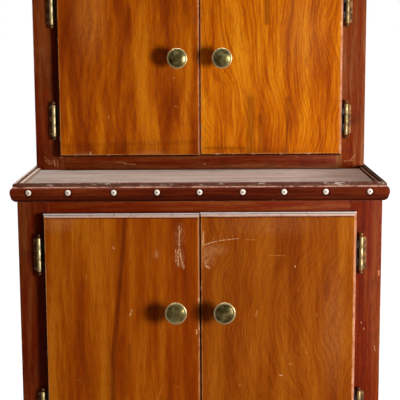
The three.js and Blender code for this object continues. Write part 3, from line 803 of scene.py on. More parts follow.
def sheet_metal(name, colours, size, roughness, depth=0.0002):
    """Dull sheet metal: crystals of the coating, stains and fine rubbing."""
    def build(t):
        spot = t.spot()
        cell = t.node("TexVoronoi", {"Vector": spot, "Scale": 1 / size, "Randomness": 1.0}, "Color")
        crystal = t.split(cell)[0]
        wear = t.effect(tarnish, None, Position=spot, Size=0.06)
        shade = crystal * 0.45 + wear["Patches"] * 0.55
        colour = t.ramp(shade, list(zip((0.0, 0.5, 1.0), colours)))
        colour = t.blend(wear["Spots"] * 0.4, colour, colours[0])
        rough = t.level(shade, 0.0, 1.0, roughness + 0.12, roughness - 0.08) + wear["Brushing"] * 0.08
        return {"Base Color": colour, "Roughness": rough, "Height": (crystal + wear["Patches"] * 2, depth)}
    return finish(name, build, Metallic=0.85)


ZINC = sheet_metal("zinc_sheet", shades(0x767878, 0xa4a8a8, 0xc4c8c8), 0.012, 0.42)
PLUG_SHEET = sheet_metal("door_plug_sheet", shades(0x7e7e7a, 0xaaaca8, 0xccceca), 0.01, 0.38)
TINNED = sheet_metal("tinned_wire", shades(0x605e5a, 0x9c9a94, 0xcccac4), 0.004, 0.34, 0.00005)
KNOB_RIM = (0.0154, 0.0162)  # how far from a knob's axis its rolled rim begins


def brass(name, colours, size, roughness, metallic, spots=0.7, rubbed_and_painted_light=None):
    """Aged metal: cloudy patches pick a place on four colours, spots are darkest, brushing roughens. With
    rubbed_and_painted_light, the rolled rim of a knob has that colour, by its radial attribute: rubbed
    brass, and a painted highlight of the light that the rim catches."""
    def build(t):
        spot = t.spot()
        wear = t.effect(tarnish, None, Position=spot, Size=size)
        colour = t.ramp(wear["Patches"], list(zip((0.0, 0.45, 0.8, 1.0), colours)))
        colour = t.blend(wear["Spots"] * spots, colour, colours[0])
        if rubbed_and_painted_light:
            rim = t.level(t.attribute("radial"), *KNOB_RIM)
            colour = t.blend(rim * t.level(wear["Brushing"], 0.35, 0.6, 0.35, 0.95), colour, rubbed_and_painted_light)
        dull = t.level(wear["Patches"], 0.0, 1.0, roughness + 0.06, roughness - 0.04)
        return {"Base Color": colour, "Roughness": dull + wear["Brushing"] * 0.1,
                "Height": (wear["Brushing"], 0.00006)}
    return finish(name, build, Metallic=metallic)


# The rolled rim's pale colour: rubbed brass and a painted highlight.
KNOB_BRASS = brass("knob_brass", shades(0x403416, 0x6c6032, 0x867c4a, 0xb0a470), 0.013, 0.28, 0.7, 0.7,
                   rubbed_and_painted_light=srgb(0xe2ce96))
HINGE_BRASS = brass("hinge_brass", shades(0xc4ac72, 0xdac690, 0xe8d8a8, 0xf6eac4), 0.03, 0.46, 0.85, 0.0)
# A dimmer copy of the hinge brass, painted shade for the right hinges.
HINGE_BRASS_SHADED = brass("hinge_brass_shaded", shades(0x968050, 0xb09a68, 0xc0ac7a, 0xd4c292), 0.03, 0.46, 0.85,
                         0.1)
HINGE_PATINA = brass("hinge_patina", shades(0x42260e, 0x68421c, 0x8a5c2a, 0xa2723c), 0.012, 0.5, 0.5, 0.4)
# The leaf on a door's edge: near-black, painted shade between the door and the barrel.
HINGE_PAINTED_SHADE = brass("hinge_painted_shade", shades(0x0a0603, 0x160e08, 0x281c10, 0x544228), 0.006, 0.5, 0.3)


def tack_head(t):
    """Pale tack heads, dark at the pip in the middle: the pale is a painted reflection that stands for the
    shine of plated heads, and round the skirt is painted shade.
    """
    radial = t.attribute("radial")
    spot = t.spot()
    wear = t.effect(tarnish, None, Position=spot, Size=0.004)
    colour = t.ramp(radial, stops(0.17, 0x341a10, 0.3, 0xfae4cc, 0.82, 0xfff4e4, 0.99, 0x96684e))
    colour = t.over(colour, wear["Spots"] * 0.45, 0xb08868)
    return {"Base Color": colour, "Roughness": t.level(wear["Patches"], 0.0, 1.0, 0.3, 0.45)}


TACK_HEAD = finish("tack_head", tack_head, Metallic=0.0)


# ---------------------------------------------------------------- case

def corners_of(node):
    low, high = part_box(node)
    return np.array(low), np.array(high)


def board(node, along, seed, tone=0.0, ease=1.0 * MM, past=(0, 0, 0)):
    """An eased board in the place of a CAD one, worn as if it reached past its joints."""
    low, high = corners_of(node)
    shape = eased_box(low, high, ease)
    values = board_values(shape[0], along, seed, tone, (low - past, high + past))
    return piece(node + "_board", shape, CASE_WOOD, CABINET, [node], values)


# The foot of the upper uprights, clear of the ledge's rim: (in from the outer face, up).
COPE = MM * np.array([(9.6, 0.3), (8.4, 1.7), (6.3, 3.2), (3.7, 3.7), (2.5, 5.6), (0.0, 6.7)])
# Tones: how much further a board lies along its colour ramp, which runs from dark to light.
UPRIGHT_TONE = {"upper_left": 0.0, "upper_right": 0.22, "lower_left": 0.08, "lower_right": -0.22}
RAIL_TONE = {"upper_bottom_rail": 0.08}
PAST_JOINT = 20 * MM  # the arris of a board isn't worn where it butts on the next one

for tier in TIERS:
    for hand, s in HANDS.items():
        for part in ("stile", "side"):
            node = f"{tier}_{part}_{hand}"
            low, high = corners_of(node)
            inner, outer = (low[0], high[0]) if s > 0 else (high[0], low[0])
            foot = [(outer, low[2])]
            if tier == "upper":
                foot = [(outer - s * COPE[0, 0], low[2])]
                foot += [(outer - s * inset, low[2] + up) for inset, up in COPE]
            outline = [(inner, low[2]), *foot, (outer, high[2]), (inner, high[2])]
            shape = eased_prism("y", outline, low[1], high[1], (0.3 if tier == "upper" else 1.0) * MM)
            box_low, box_high = low - (0, 0, PAST_JOINT), high + (0, 0, PAST_JOINT)
            (box_high if s < 0 else box_low)[0] += -s * PAST_JOINT
            values = board_values(shape[0], "z", len(node) + s, UPRIGHT_TONE[f"{tier}_{hand}"],
                                  (box_low, box_high))
            piece(node + "_board", shape, CASE_WOOD, CABINET, [node], values)
    for index, part in enumerate(("bottom_rail", "top_rail", "mullion")):
        node = f"{tier}_{part}"
        board(node, "z" if part == "mullion" else "x", 40 + 3 * index + len(tier), RAIL_TONE.get(node, 0.0),
              0.4 * MM, past=(PAST_JOINT, 0, PAST_JOINT))
board("top_board", "x", 61, 0.05, 2.5 * MM)

PLANK_TONE = (0.10, -0.14, 0.04, -0.08, 0.16, -0.04)


def plank_back(tier, planks=6, gap=0.5 * MM):
    """Upright tongued boards with a chamfer along each joint, and three rows of nails, two to a board."""
    low, high = corners_of(f"{tier}_back")
    edges = np.linspace(low[0], high[0], planks + 1)
    shapes, values = [], []
    for index in range(planks):
        plank = eased_box((edges[index] + gap / 2, low[1], low[2]),
                          (edges[index + 1] - gap / 2, high[1], high[2]), 2.6 * MM, 2)
        shapes.append(plank)
        values.append(board_values(plank[0], "z", 70 + index + len(tier), PLANK_TONE[index]))
    shape = together(*shapes)
    piece(f"{tier}_back_boards", shape, BACK_PINE, CABINET, [f"{tier}_back"],
          joined_values(values))
    heads = []
    for z in (low[2] + 30 * MM, (low[2] + high[2]) / 2, high[2] - 40 * MM):
        for x in edges[:-1] + (high[0] - low[0]) / planks / 2:
            for side in (-30 * MM, 30 * MM):
                heads.append(nail((x + side, high[1] - 0.6 * MM, z), 2.6 * MM, 0.6 * MM, "-y"))
    piece(f"{tier}_back_nails", together(*heads), NAIL_STEEL, CABINET)


def nail(place, radius, height, axis):
    """A low domed nail head. Heads on the back face +Y, those on a front face -Y."""
    points, faces = turned(dome(radius, height, steps=4), (0, 0, 0), "y", 12)
    if axis == "-y":
        points = points * (-1, -1, 1)
    return points + np.asarray(place), faces


NAIL_STEEL = sheet_metal("nail_steel", shades(0x3c3630, 0x68625a, 0x969088), 0.003, 0.5, 0.00005)
for tier in TIERS:
    plank_back(tier)


def carried_round(profile, corners, z):
    """A moulding carried along a path of corners (x, y) with mitres: a point of the profile (out, up) lies
    out from the path by out * (n1 + n2) / (1 + n1.n2), where n1 and n2 are the outward normals on either
    side."""
    corners = np.asarray(corners, float)
    edge = np.diff(corners, axis=0)
    edge /= np.linalg.norm(edge, axis=1, keepdims=True)
    normal = np.stack([edge[:, 1], -edge[:, 0]], 1)
    n1, n2 = np.concatenate([normal[:1], normal]), np.concatenate([normal, normal[-1:]])
    mitre = (n1 + n2) / (1 + np.sum(n1 * n2, 1, keepdims=True))
    profile = np.asarray(profile, float)
    flat = corners[:, None] + profile[None, :, :1] * mitre[:, None]
    rings = np.concatenate([flat, np.broadcast_to(z + profile[None, :, 1:], flat.shape[:2] + (1,))], 2)
    return solid_of_rings(rings)


cornice_low, cornice_high = corners_of("cornice_moulding")
drop, reach = cornice_high[2] - cornice_low[2], 9 * MM
turn = np.linspace(0, math.pi / 2, 12)
cove = np.stack([reach * (1 - np.cos(turn)), (drop - 4 * MM) * np.sin(turn)], 1)
cove = cove[1:] * (0.85, 1) + (0.8 * MM, 0.6 * MM)
fillet = [(reach - 0.4 * MM, drop - 3 * MM), (reach, drop - 2.5 * MM), (reach, drop), (0.0, drop)]
cornice_profile = np.concatenate([[(0.0, 0.0), (0.8 * MM, 0.0)], cove, fillet])
case_low, case_high = corners_of("upper_side_left")[0], corners_of("upper_side_right")[1]
front_of_upper = corners_of("upper_stile_left")[0][1]
cornice_path = [(case_low[0], case_high[1]), (case_low[0], front_of_upper), (case_high[0], front_of_upper),
                (case_high[0], case_high[1])]
cornice = carried_round(cornice_profile, cornice_path, cornice_low[2])
piece("cornice_cove", cornice, CASE_WOOD, CABINET, ["cornice_moulding"],
      board_values(cornice[0], "x", 81, 0.0))


# ---------------------------------------------------------------- ledge moulding

def arc_points(a, b, ra, rb, start, end, steps):
    """Points of an ellipse about (a, b) between two angles counted in quarter turns."""
    angle = np.linspace(start, end, steps + 1) * math.pi / 2
    return np.stack([a + ra * np.cos(angle), b + rb * np.sin(angle)], 1)


LEDGE_PROFILE = MM * np.concatenate([
    arc_points(11.5, -16.6, 9.9, 9.4, -1, -1.95, 10), [(1.3, -16.4), (1.0, -15.6)],
    [(0.45, -13.6), (0.1, -11.6), (0.0, -9.8), (0.0, -8.4), (0.25, -6.4), (0.85, -4.6), (1.8, -3.0),
     (3.0, -1.8), (4.2, -1.0)], arc_points(7.0, 2.2, 2.6, 3.4, 2, 1, 5), [(7.6, 5.5), (8.2, 4.9), (8.8, 5.4)],
    arc_points(11.4, 3.4, 2.6, 2.6, 1.9, 0.1, 8), [(14.4, 2.6), (14.9, 2.9), (15.6, 2.7)],
    arc_points(16.6, 0.9, 2.4, 1.6, 1, 0, 4), [(20.0, 0.0), (10.5, 0.0)],
])
TACK_SHADOW_RADIUS = 7.0 * MM  # of the painted shadow round a tack
ARRIS, ARRIS_REACH, DEEPEST_WEAR = (3.4 * MM, -1.2 * MM), 2.0 * MM, 1.6 * MM


def moulding_run(name, start, end, mitres, place, turn_round, seed, tone, painted_light, tack_places=()):
    """One length of the ledge moulding. Every thread of the profile runs straight between its two ends,
    which are square (0) or mitred (1); its arris is worn unevenly: a point there sinks by a seeded
    ripple's share."""
    profile = LEDGE_PROFILE
    rows = int((end - start) / (2 * MM))
    share = np.linspace(0, 1, rows)[:, None]
    first, last = start + mitres[0] * profile[:, 0], end - mitres[1] * profile[:, 0]
    along = (1 - share) * first + share * last
    inwards = np.broadcast_to(profile[:, 0], along.shape)
    height = np.broadcast_to(profile[:, 1], along.shape)
    near_arris = np.exp(-((inwards - ARRIS[0]) ** 2 + (height - ARRIS[1]) ** 2) / ARRIS_REACH ** 2)
    wear = np.clip(ripple(along, height * 0, 0.035, seed) + 0.6 * ripple(along, height * 0, 0.011, seed + 1),
                   0, 1)
    sink = DEEPEST_WEAR * near_arris * wear
    rim = np.clip(height / (5 * MM), 0, 1) * ripple(along, inwards * 3, 0.05, seed + 2) * 0.25 * MM
    rings = np.stack([along, inwards + sink * 0.6, height - sink * 0.5 - np.abs(rim)], -1)
    points, faces = solid_of_rings(rings)
    grain = points[:, (1, 2, 0)] + np.random.default_rng(seed).uniform(-4, 4, 3)
    tack_shadow = np.zeros(len(points))
    # Painted shadow round each tack on the front, centred a little off it.
    for tack in tack_places:
        away = np.hypot(points[:, 0] - tack - 0.8 * MM, points[:, 2] + TACK_DROP + 1.2 * MM)
        tack_shadow = np.maximum(tack_shadow, np.exp(-(away / TACK_SHADOW_RADIUS) ** 6) * (points[:, 1] < 4 * MM))
    values = {"grain": grain, "inwards": points[:, 1], "height": points[:, 2],
              "tone": np.full(len(points), tone), "painted_light": np.full(len(points), painted_light), "tack_shadow": tack_shadow}
    cos, sin = {"front": (1, 0), "right": (0, 1), "left": (0, -1)}[turn_round]
    spun = np.stack([points[:, 0] * cos - points[:, 1] * sin, points[:, 0] * sin + points[:, 1] * cos,
                     points[:, 2]], 1)
    piece(f"{name}_worn", (spun + np.asarray(place), faces), MOULDING_WOOD, CABINET, [name],
          values, 50)


ledge_top = corners_of("ledge_board")[1][2]
nosing_low, nosing_high = corners_of("ledge_moulding_front")
back_edge = case_high[1]
return_start = nosing_low[1] + 0.2 * MM
TACK_X = np.array([-284.0, -218.6, -142.5, -70.6, 0.0, 71.5, 140.2, 209.2, 282.2]) * MM
TACK_DROP = 9.4 * MM
moulding_run("ledge_moulding_front", nosing_low[0], nosing_high[0], (1, 1), (0, nosing_low[1], ledge_top),
             "front", 5, -0.02, 0.0, TACK_X)
moulding_run("ledge_moulding_right", return_start, back_edge, (1, 0),
             (nosing_high[0] + 0.2 * MM, 0, ledge_top), "right", 15, 0.1, -0.9)
moulding_run("ledge_moulding_left", -back_edge, -return_start, (0, 1),
             (nosing_low[0] - 0.2 * MM, 0, ledge_top), "left", 25, -0.1, 0.8)

TACK_PROFILE = MM * np.array([
    (0, 0), (5.0, 0), (5.05, 0.3), (4.9, 0.8), (4.5, 1.3), (3.8, 1.8), (2.9, 2.15), (2.0, 2.3), (1.4, 2.35),
    (1.0, 2.2), (0.6, 2.1), (0, 2.1),
])
tacks = [turned(TACK_PROFILE, (x, nosing_low[1], ledge_top - TACK_DROP), "y", 24) for x in TACK_X]
tack_radial = [np.hypot(p[:, 0] - x, p[:, 2] - (ledge_top - TACK_DROP)) / (5 * MM)
               for (p, _), x in zip(tacks, TACK_X)]
piece("nosing_tacks", together(*tacks), TACK_HEAD, CABINET,
      values={"radial": np.concatenate(tack_radial)})


# ---------------------------------------------------------------- doors

BEVEL_WIDTH = {"hinge": 3.5 * MM, "seam": 1.5 * MM, "bottom": 3.5 * MM, "top": 5.5 * MM}
LIP_THICKNESS = 6.5 * MM
BEVEL_DEPTH = {"hinge": 5.0 * MM, "seam": 3.0 * MM, "bottom": 5.0 * MM, "top": 3.6 * MM}
BOTTOM, TOP = 2, 3  # where these two stand among a door's left, right, bottom and top sides
# How bare and lit, and how shaded, the left, right, bottom and top bevels are. The first list is rubbed
# bare wood, set highest on the right and top bevels that face the light, so partly painted light; the
# second is painted shade, heaviest on the left and bottom bevels, which face away from it.
BEVEL_WEAR_AND_SHADE = {
    "lower_left": ([0.0, 0.35, 0.1, 1.0], [0.9, 0.35, 0.9, 0.0]),
    "lower_right": ([0.05, 0.68, 0.1, 1.0], [0.75, 0.1, 0.9, 0.0]),
    "upper_left": ([0.0, 0.55, 0.05, 1.0], [0.85, 0.1, 0.95, 0.0]),
    "upper_right": ([0.2, 0.7, 0.05, 1.0], [0.15, 0.1, 0.95, 0.0]),
}


def door_lines(low, high):
    """Places of the grid lines across a door: every half millimetre over the lip, then every 3 mm."""
    fine = np.concatenate([np.arange(0, 7, 0.5), [8.0, 10.0]]) * MM
    middle = np.linspace(low + 12 * MM, high - 12 * MM, int((high - low) / (3 * MM)))
    return np.concatenate([low + fine, middle, high - fine[::-1]])


def lip(distance, width, softness=0.22):
    """How far the bevel falls, from 1 at the edge to 0 at the face arris, with the arris softened: one
    less the smooth minimum of distance / width and 1."""
    a = distance / width
    h = np.clip(0.5 + 0.5 * (1 - a) / softness, 0, 1)
    return 1 - (a * h + (1 - h) - softness * h * (1 - h))


def door_slab(name, seed, tone):
    """A lipped door: its front is a height over a grid, the greatest fall of its four bevels, with chips
    along the arrises and a slight unevenness of the veneer; a wall and a flat back close it."""
    node = name + "_door_slab"
    low, high = corners_of(node)
    x, z = np.meshgrid(door_lines(low[0], high[0]), door_lines(low[2], high[2]), indexing="ij")
    sides = ("hinge", "seam", "bottom", "top") if "left" in name else ("seam", "hinge", "bottom", "top")
    from_edge = np.stack([x - low[0], high[0] - x, z - low[2], high[2] - z])
    widths = dict(BEVEL_WIDTH, hinge=2.2 * MM) if name == "lower_left" else BEVEL_WIDTH
    width = np.array([widths[side] for side in sides])[:, None, None] * (1 + 0.10 * ripple(x, z, 0.12, seed))
    depth = np.array([BEVEL_DEPTH[side] for side in sides])[:, None, None]
    share = from_edge / width
    nearest = share.argmin(0)
    margin = np.take_along_axis(from_edge - width, nearest[None], 0)[0]
    spared = np.where(nearest == BOTTOM, 0.22, 0.38)  # the lower arris has the most chips
    lump = ripple(x, z, 0.03, seed + 1) + 0.5 * ripple(x, z, 0.012, seed + 2) - spared
    chip = np.clip(lump / 0.3, 0, 1) * np.exp(-(margin / (1.2 * MM)) ** 2)
    y = low[1] + np.max(lip(from_edge, width) * depth, 0) + 0.7 * MM * chip
    y += 0.08 * MM * (1 + ripple(x, z, 0.09, seed + 3)) * np.clip(margin / (20 * MM), 0, 1)
    nx, nz = x.shape
    front = np.stack([x, y, z], -1).reshape(-1, 3)
    number = np.arange(nx * nz).reshape(nx, nz)
    rim = np.concatenate([number[:-1, 0], number[-1, :-1], number[:0:-1, -1], number[0, :0:-1]])
    wall = front[rim]
    rings = [np.stack([wall[:, 0], np.full(len(rim), back), wall[:, 2]], 1)
             for back in (low[1] + LIP_THICKNESS, high[1] - 0.6 * MM, high[1])]
    centre = np.array([(low[0] + high[0]) / 2, 0, (low[2] + high[2]) / 2])
    inset = np.clip(wall - centre, -(high - low) / 2 + 0.5 * MM, (high - low) / 2 - 0.5 * MM) + centre
    rings[2][:, (0, 2)] = inset[:, (0, 2)]
    points = np.concatenate([front, *rings])
    faces = grid_faces(nx, nz)[:, ::-1].tolist()
    count, size = len(front), len(rim)
    loops = [rim] + [count + size * k + np.arange(size) for k in range(3)]
    for outer, inner in zip(loops, loops[1:]):
        faces += np.stack([outer, inner, np.roll(inner, -1), np.roll(outer, -1)], 1).tolist()
    faces.append(loops[-1][::-1].tolist())
    values = board_values(points, "z", seed, tone)
    # The nearest bevel's amounts of bare and lit wood and of painted shade.
    bare_and_lit, painted_shade = (np.array(amounts)[nearest] for amounts in BEVEL_WEAR_AND_SHADE[name])
    over_front = {"margin": margin, "share": np.clip(share.min(0), 0, 3), "bare_and_lit": bare_and_lit, "painted_shade": painted_shade,
                  "crown": (nearest == TOP).astype(float), "chip": chip}
    for key, value in over_front.items():
        value = value.ravel()
        values[key] = np.concatenate([value] + [value[rim]] * 3)
    return piece(name + "_door_face", (points, faces), DOOR_FINISH[name], name + "_door",
                 [node], values, 30)


def door_plug(name):
    """The insulated back of a door: a sheet folded over a block, a raised panel, nails round its edge."""
    node = name + "_door_plug"
    low, high = corners_of(node)
    rise = 2.0 * MM
    block = eased_box(low, (high[0], high[1] - rise, high[2]), 3 * MM, 4)
    border = 26 * MM
    panel = eased_box((low[0] + border, high[1] - rise - 2 * MM, low[2] + border),
                      (high[0] - border, high[1], high[2] - border), 1.6 * MM, 4)
    piece(name + "_plug_sheet", together(block, panel), PLUG_SHEET, name + "_door", [node])
    edge, heads = 10 * MM, []
    columns = np.linspace(low[0] + edge, high[0] - edge, 7)
    rows = np.linspace(low[2] + edge, high[2] - edge, 12)
    spots = [(x, z) for z in rows[[0, -1]] for x in columns]
    spots += [(x, z) for x in columns[[0, -1]] for z in rows[1:-1]]
    for x, z in spots:
        heads.append(nail((x, high[1] - rise, z), 2.4 * MM, 1.0 * MM, "-y"))
    piece(name + "_plug_nails", together(*heads), NAIL_STEEL, name + "_door")


KNOB_PROFILE = [
    (0, 0), (11.2, 0), (11.7, 0.4), (11.8, 1.2), (11.2, 2.0), (9.6, 2.8), (8.0, 4.2), (7.1, 6.5), (6.9, 9.5),
    (7.0, 12.5), (7.9, 15.2), (10.0, 17.3), (13.2, 18.8), (16.2, 20.0), (17.8, 21.2), (18.5, 22.4),
    (18.75, 23.6), (18.6, 24.8), (18.1, 25.6), (17.3, 26.1), (16.6, 26.2), (16.0, 26.0), (15.4, 26.1),
    (14.0, 26.8), (12.0, 27.7), (9.4, 28.6), (6.6, 29.3), (3.2, 29.85), (0, 30),
]


def door_knob(name):
    """A turned knob: seat, waist, and a shallow dome inside a rolled rim."""
    node = name + "_knob"
    low, high = corners_of(node)
    seat = ((low[0] + high[0]) / 2, high[1], (low[2] + high[2]) / 2)
    shape = turned(np.array(KNOB_PROFILE) * MM, seat, "y", 72)
    radial = np.hypot(shape[0][:, 0] - seat[0], shape[0][:, 2] - seat[2])
    piece(name + "_turned_knob", shape, KNOB_BRASS, name + "_door", [node], {"radial": radial}, 60)


def screw(place, radius, side):
    """A countersunk screw head in a door's edge: a low dome with a slot pressed across it."""
    turn = np.linspace(0, math.pi / 2, 4)
    curve = [(radius * math.cos(t), 0.5 * MM * math.sin(t)) for t in turn[1:-1]]
    points, faces = turned([(0, 0), (radius, 0), *curve, (0, 0.5 * MM)], (0, 0, 0), "z", 16)
    slot = np.abs(points[:, 0]) < radius * 0.28
    points[slot & (points[:, 2] > 0), 2] -= 0.35 * MM
    return np.stack([side * points[:, 2], points[:, 0] * side, points[:, 1]], 1) + np.asarray(place), faces


def barrel(x, y, z0, z1):
    """A length of a hinge's barrel with softened ends."""
    profile = [(3.0, z0), (3.35, z0 + 0.06), (3.5, z0 + 0.25), (3.5, z1 - 0.25), (3.35, z1 - 0.06), (3.0, z1)]
    return turned(np.array(profile) * MM, (x, y, 0), "z", 28)


# The hinge pins, out from the middle of the icebox and back from the leaf's front.
PIN_X, PIN_DEPTH = 270 * MM, 5 * MM


def hinge(name, level, s):
    """Two leaves and the barrel: on the stile a clipped leaf with the pin and its finials, the outer
    knuckles and two nail heads; on the door's edge a leaf with screws, painted near-black as the shade
    between the door and the barrel, and the middle knuckle."""
    prefix = f"{name}_{level}_hinge"
    low, high = corners_of(prefix + "_frame_leaf")
    door_low, door_high = corners_of(prefix + "_door_leaf")
    middle = (low[2] + high[2]) / 2
    z, front = middle / MM, high[1]
    axis_x, axis_y = s * PIN_X, front - PIN_DEPTH
    outer, inner, half, clip = 279.5, 273.5, 28.5, 3.2
    outline = [(inner, -half), (outer - clip, -half), (outer, clip - half), (outer, half - clip),
               (outer - clip, half), (inner, half)]
    leaf = [eased_prism("y", [(s * x * MM, (z + up) * MM) for x, up in outline], front - 2 * MM, front,
                        0.5 * MM)]
    knuckles = []
    x0, x1 = sorted((s * 270.5 * MM, s * 275 * MM))
    for way in (-1, 1):
        z0, z1 = sorted((z + way * 9.3, z + way * half))
        knuckles.append(barrel(axis_x, axis_y, z0, z1))
        leaf.append(eased_box((x0, front - 3.2 * MM, z0 * MM), (x1, front - 0.2 * MM, z1 * MM), 0.4 * MM, 2))
    top = high[2] - middle
    ball = [(0, top)] + [(3.35 * MM * math.sin(t), top - 3.4 * MM + 3.4 * MM * math.cos(t))
                         for t in np.linspace(0.3, 2.5, 9)]
    ball = np.array(ball + [(1.5 * MM, top - 6.4 * MM), (2.3 * MM, top - 6.9 * MM)])
    pin = turned(np.concatenate([ball * (1, -1), ball[::-1]]), (axis_x, axis_y, middle), "z", 24)
    piece(prefix + "_stile_leaf", together(*leaf, pin), HINGE_PATINA, CABINET,
          [prefix + "_frame_leaf"], smooth=45)
    heads = [nail((s * 276.4 * MM, front - 1.9 * MM, (z + up) * MM), 1.3 * MM, 0.7 * MM, "y")
             for up in (-24.5, 24.5)]
    # The right hinges take the dimmer copy of the same brass: painted shade.
    brass_look = HINGE_BRASS if s < 0 else HINGE_BRASS_SHADED
    piece(prefix + "_outer_knuckles", together(*knuckles, *heads), brass_look, CABINET, smooth=45)

    # Plate, wing and bridge on the door's edge are all near-black: painted shade between the door and the
    # barrel.
    edge_x = s * 261.5 * MM
    x0, x1 = sorted((edge_x, edge_x + s * 1.5 * MM))
    plate = eased_box((x0, axis_y - 2 * MM, door_low[2]), (x1, axis_y + 4 * MM, door_high[2]), 0.4 * MM, 2)
    wing = [(262.0, -20.8), (264.6, -20.8), (265.9, -19.4), (265.9, 19.4), (264.6, 20.8), (262.0, 20.8)]
    wing = eased_prism("y", [(s * x * MM, (z + up) * MM) for x, up in wing], axis_y - 0.9 * MM,
                       axis_y + 0.9 * MM, 0.3 * MM, 2)
    x0, x1 = sorted((edge_x + s * MM, s * 268 * MM))
    bridge = eased_box((x0, axis_y - 0.9 * MM, middle - 8.9 * MM), (x1, axis_y + 0.9 * MM, middle + 8.9 * MM),
                       0.3 * MM, 2)
    screws = [screw((edge_x + s * 1.4 * MM, axis_y + 1.4 * MM, middle + up * MM), 2.0 * MM, s)
              for up in (-24, 24)]
    piece(prefix + "_edge_leaf", together(plate, wing, bridge, *screws), HINGE_PAINTED_SHADE, name + "_door",
          [prefix + "_door_leaf"], smooth=45)
    piece(prefix + "_middle_knuckle", barrel(axis_x, axis_y, z - 9, z + 9), brass_look, name + "_door",
          smooth=45)


DOOR_TONE = {"lower_left": 0.13, "lower_right": -0.06, "upper_left": 0.0, "upper_right": -0.07}
for index, (name, tone) in enumerate(DOOR_TONE.items()):
    door_slab(name, 101 + 7 * index, tone)
    door_plug(name)
    door_knob(name)
    for level in ("top", "bottom"):
        hinge(name, level, HANDS[name.split("_")[1]])


# ---------------------------------------------------------------- inside and base

def ice_rack():
    """Slats on skids, each an eased stick with its own grain, and a nail where they cross."""
    low, high = corners_of("ice_rack")
    skid, slat, slats, width = 12 * MM, 12 * MM, 6, 20 * MM
    seat = low[2] + skid
    shapes, values, heads = [], [], []
    places = np.linspace(low[1], high[1] - width, slats)
    for index, x in enumerate(np.array([-230, -90, 90, 230]) * MM):
        shapes.append(eased_box((x - skid / 2, low[1], low[2]), (x + skid / 2, high[1], seat), 1.2 * MM, 2))
        values.append(board_values(shapes[-1][0], "y", 130 + index))
        heads += [turned(dome(2.0 * MM, 0.5 * MM, steps=4), (x, y + width / 2, high[2] - 0.3 * MM), "z", 12)
                  for y in places]
    for index, y in enumerate(places):
        shapes.append(eased_box((low[0], y, seat - 1 * MM), (high[0], y + width, seat + slat - 0.3 * MM),
                                1.8 * MM, 3))
        values.append(board_values(shapes[-1][0], "x", 140 + index))
    piece("ice_rack_slats", together(*shapes), RACK_WOOD, CABINET, ["ice_rack"],
          joined_values(values))
    piece("ice_rack_nails", together(*heads), NAIL_STEEL, CABINET)


def wire_shelf():
    """A tinned grille: a rod down each side, three across, and fifteen wires laid over them."""
    low, high = corners_of("wire_shelf")
    frame_radius, cross_radius, wire_radius = 3 * MM, 2.5 * MM, 1.8 * MM
    level = low[2] + frame_radius
    edge = high[0] - frame_radius
    parts = [rod((s * edge, low[1], level), (s * edge, high[1], level), frame_radius, 16) for s in (-1, 1)]
    for y in (low[1] + frame_radius, (low[1] + high[1]) / 2, high[1] - frame_radius):
        parts.append(rod((-edge, y, level), (edge, y, level), cross_radius, 14))
    for x in np.linspace(-edge, edge, 17)[1:-1]:
        parts.append(rod((x, low[1] + MM, level + 0.8 * MM), (x, high[1] - MM, level + 0.8 * MM),
                         wire_radius))
    piece("wire_shelf_grille", together(*parts), TINNED, CABINET, ["wire_shelf"], smooth=50)


def drip_pan():
    """A folded pan: a rounded rectangle carried up the outside, over a rolled rim and down the inside."""
    low, high = corners_of("drip_pan")
    front = low[1] + 8 * MM
    point, direction = eased_outline([(low[0], front), (high[0], front), (high[0], high[1]),
                                      (low[0], high[1])], 9 * MM, 8)
    roll = np.linspace(-0.3, 1.25, 12) * math.pi
    course = [(6.0, 0.0), (3.4, 0.0), (2.2, 0.6), (1.8, 2.0), (1.6, 20.0), (1.4, 38.5)]
    course += [(2.2 - 2.2 * math.cos(a), 41.3 + 2.2 * math.sin(a)) for a in roll]
    course += [(2.7, 36.0), (2.9, 20.0), (3.1, 3.4), (3.6, 1.8), (5.0, 1.2), (8.0, 1.2)]
    course = np.array(course) * MM
    section = point[None] - course[:, None, :1] * direction[None]
    level = np.broadcast_to(low[2] + course[:, None, 1:], section.shape[:2] + (1,))
    shell = solid_of_rings(np.concatenate([section, level], 2))
    tab = [(front + 3 * MM, high[2] - 6 * MM), (low[1] + 2 * MM, high[2] - 6.5 * MM),
           (low[1], high[2] - 10 * MM), (low[1] + 1.2 * MM, high[2] - 10 * MM),
           (low[1] + 2.8 * MM, high[2] - 7.8 * MM), (front + 3 * MM, high[2] - 7.6 * MM)]
    pull = eased_prism("x", tab, -30 * MM, 30 * MM, 0.3 * MM, 2)
    piece("drip_pan_folded", together(shell, pull), ZINC, "drip_pan", ["drip_pan"], smooth=50)


def drain_pipe():
    """A seamed pipe: the closed outline of its wall carried round its axis, flared a little at the top."""
    low, high = corners_of("drain_pipe")
    centre = np.array([(low[0] + high[0]) / 2, (low[1] + high[1]) / 2])
    outer = (high[0] - low[0]) / 2
    wall = 1.5 * MM
    length = high[2] - low[2]
    profile = np.array([(outer - wall, 0.3 * MM), (outer - wall / 2, 0), (outer - 0.3 * MM, 0.3 * MM),
                        (outer - 0.3 * MM, length / 2), (outer, length - 2 * MM), (outer - wall / 2, length),
                        (outer - wall, length - 0.4 * MM)])
    angle = np.linspace(0, 2 * math.pi, 40, endpoint=False)
    rings = np.stack([centre[0] + profile[None, :, 0] * np.cos(angle)[:, None],
                      centre[1] + profile[None, :, 0] * np.sin(angle)[:, None],
                      np.broadcast_to(low[2] + profile[None, :, 1], (len(angle), len(profile)))], -1)
    faces = grid_faces(len(angle) + 1, len(profile), loop=True) % (len(angle) * len(profile))
    piece("drain_pipe_seamed", (rings.reshape(-1, 3), faces[:, ::-1].tolist()), ZINC, CABINET,
          ["drain_pipe"])


ice_rack()
wire_shelf()
drip_pan()
drain_pipe()

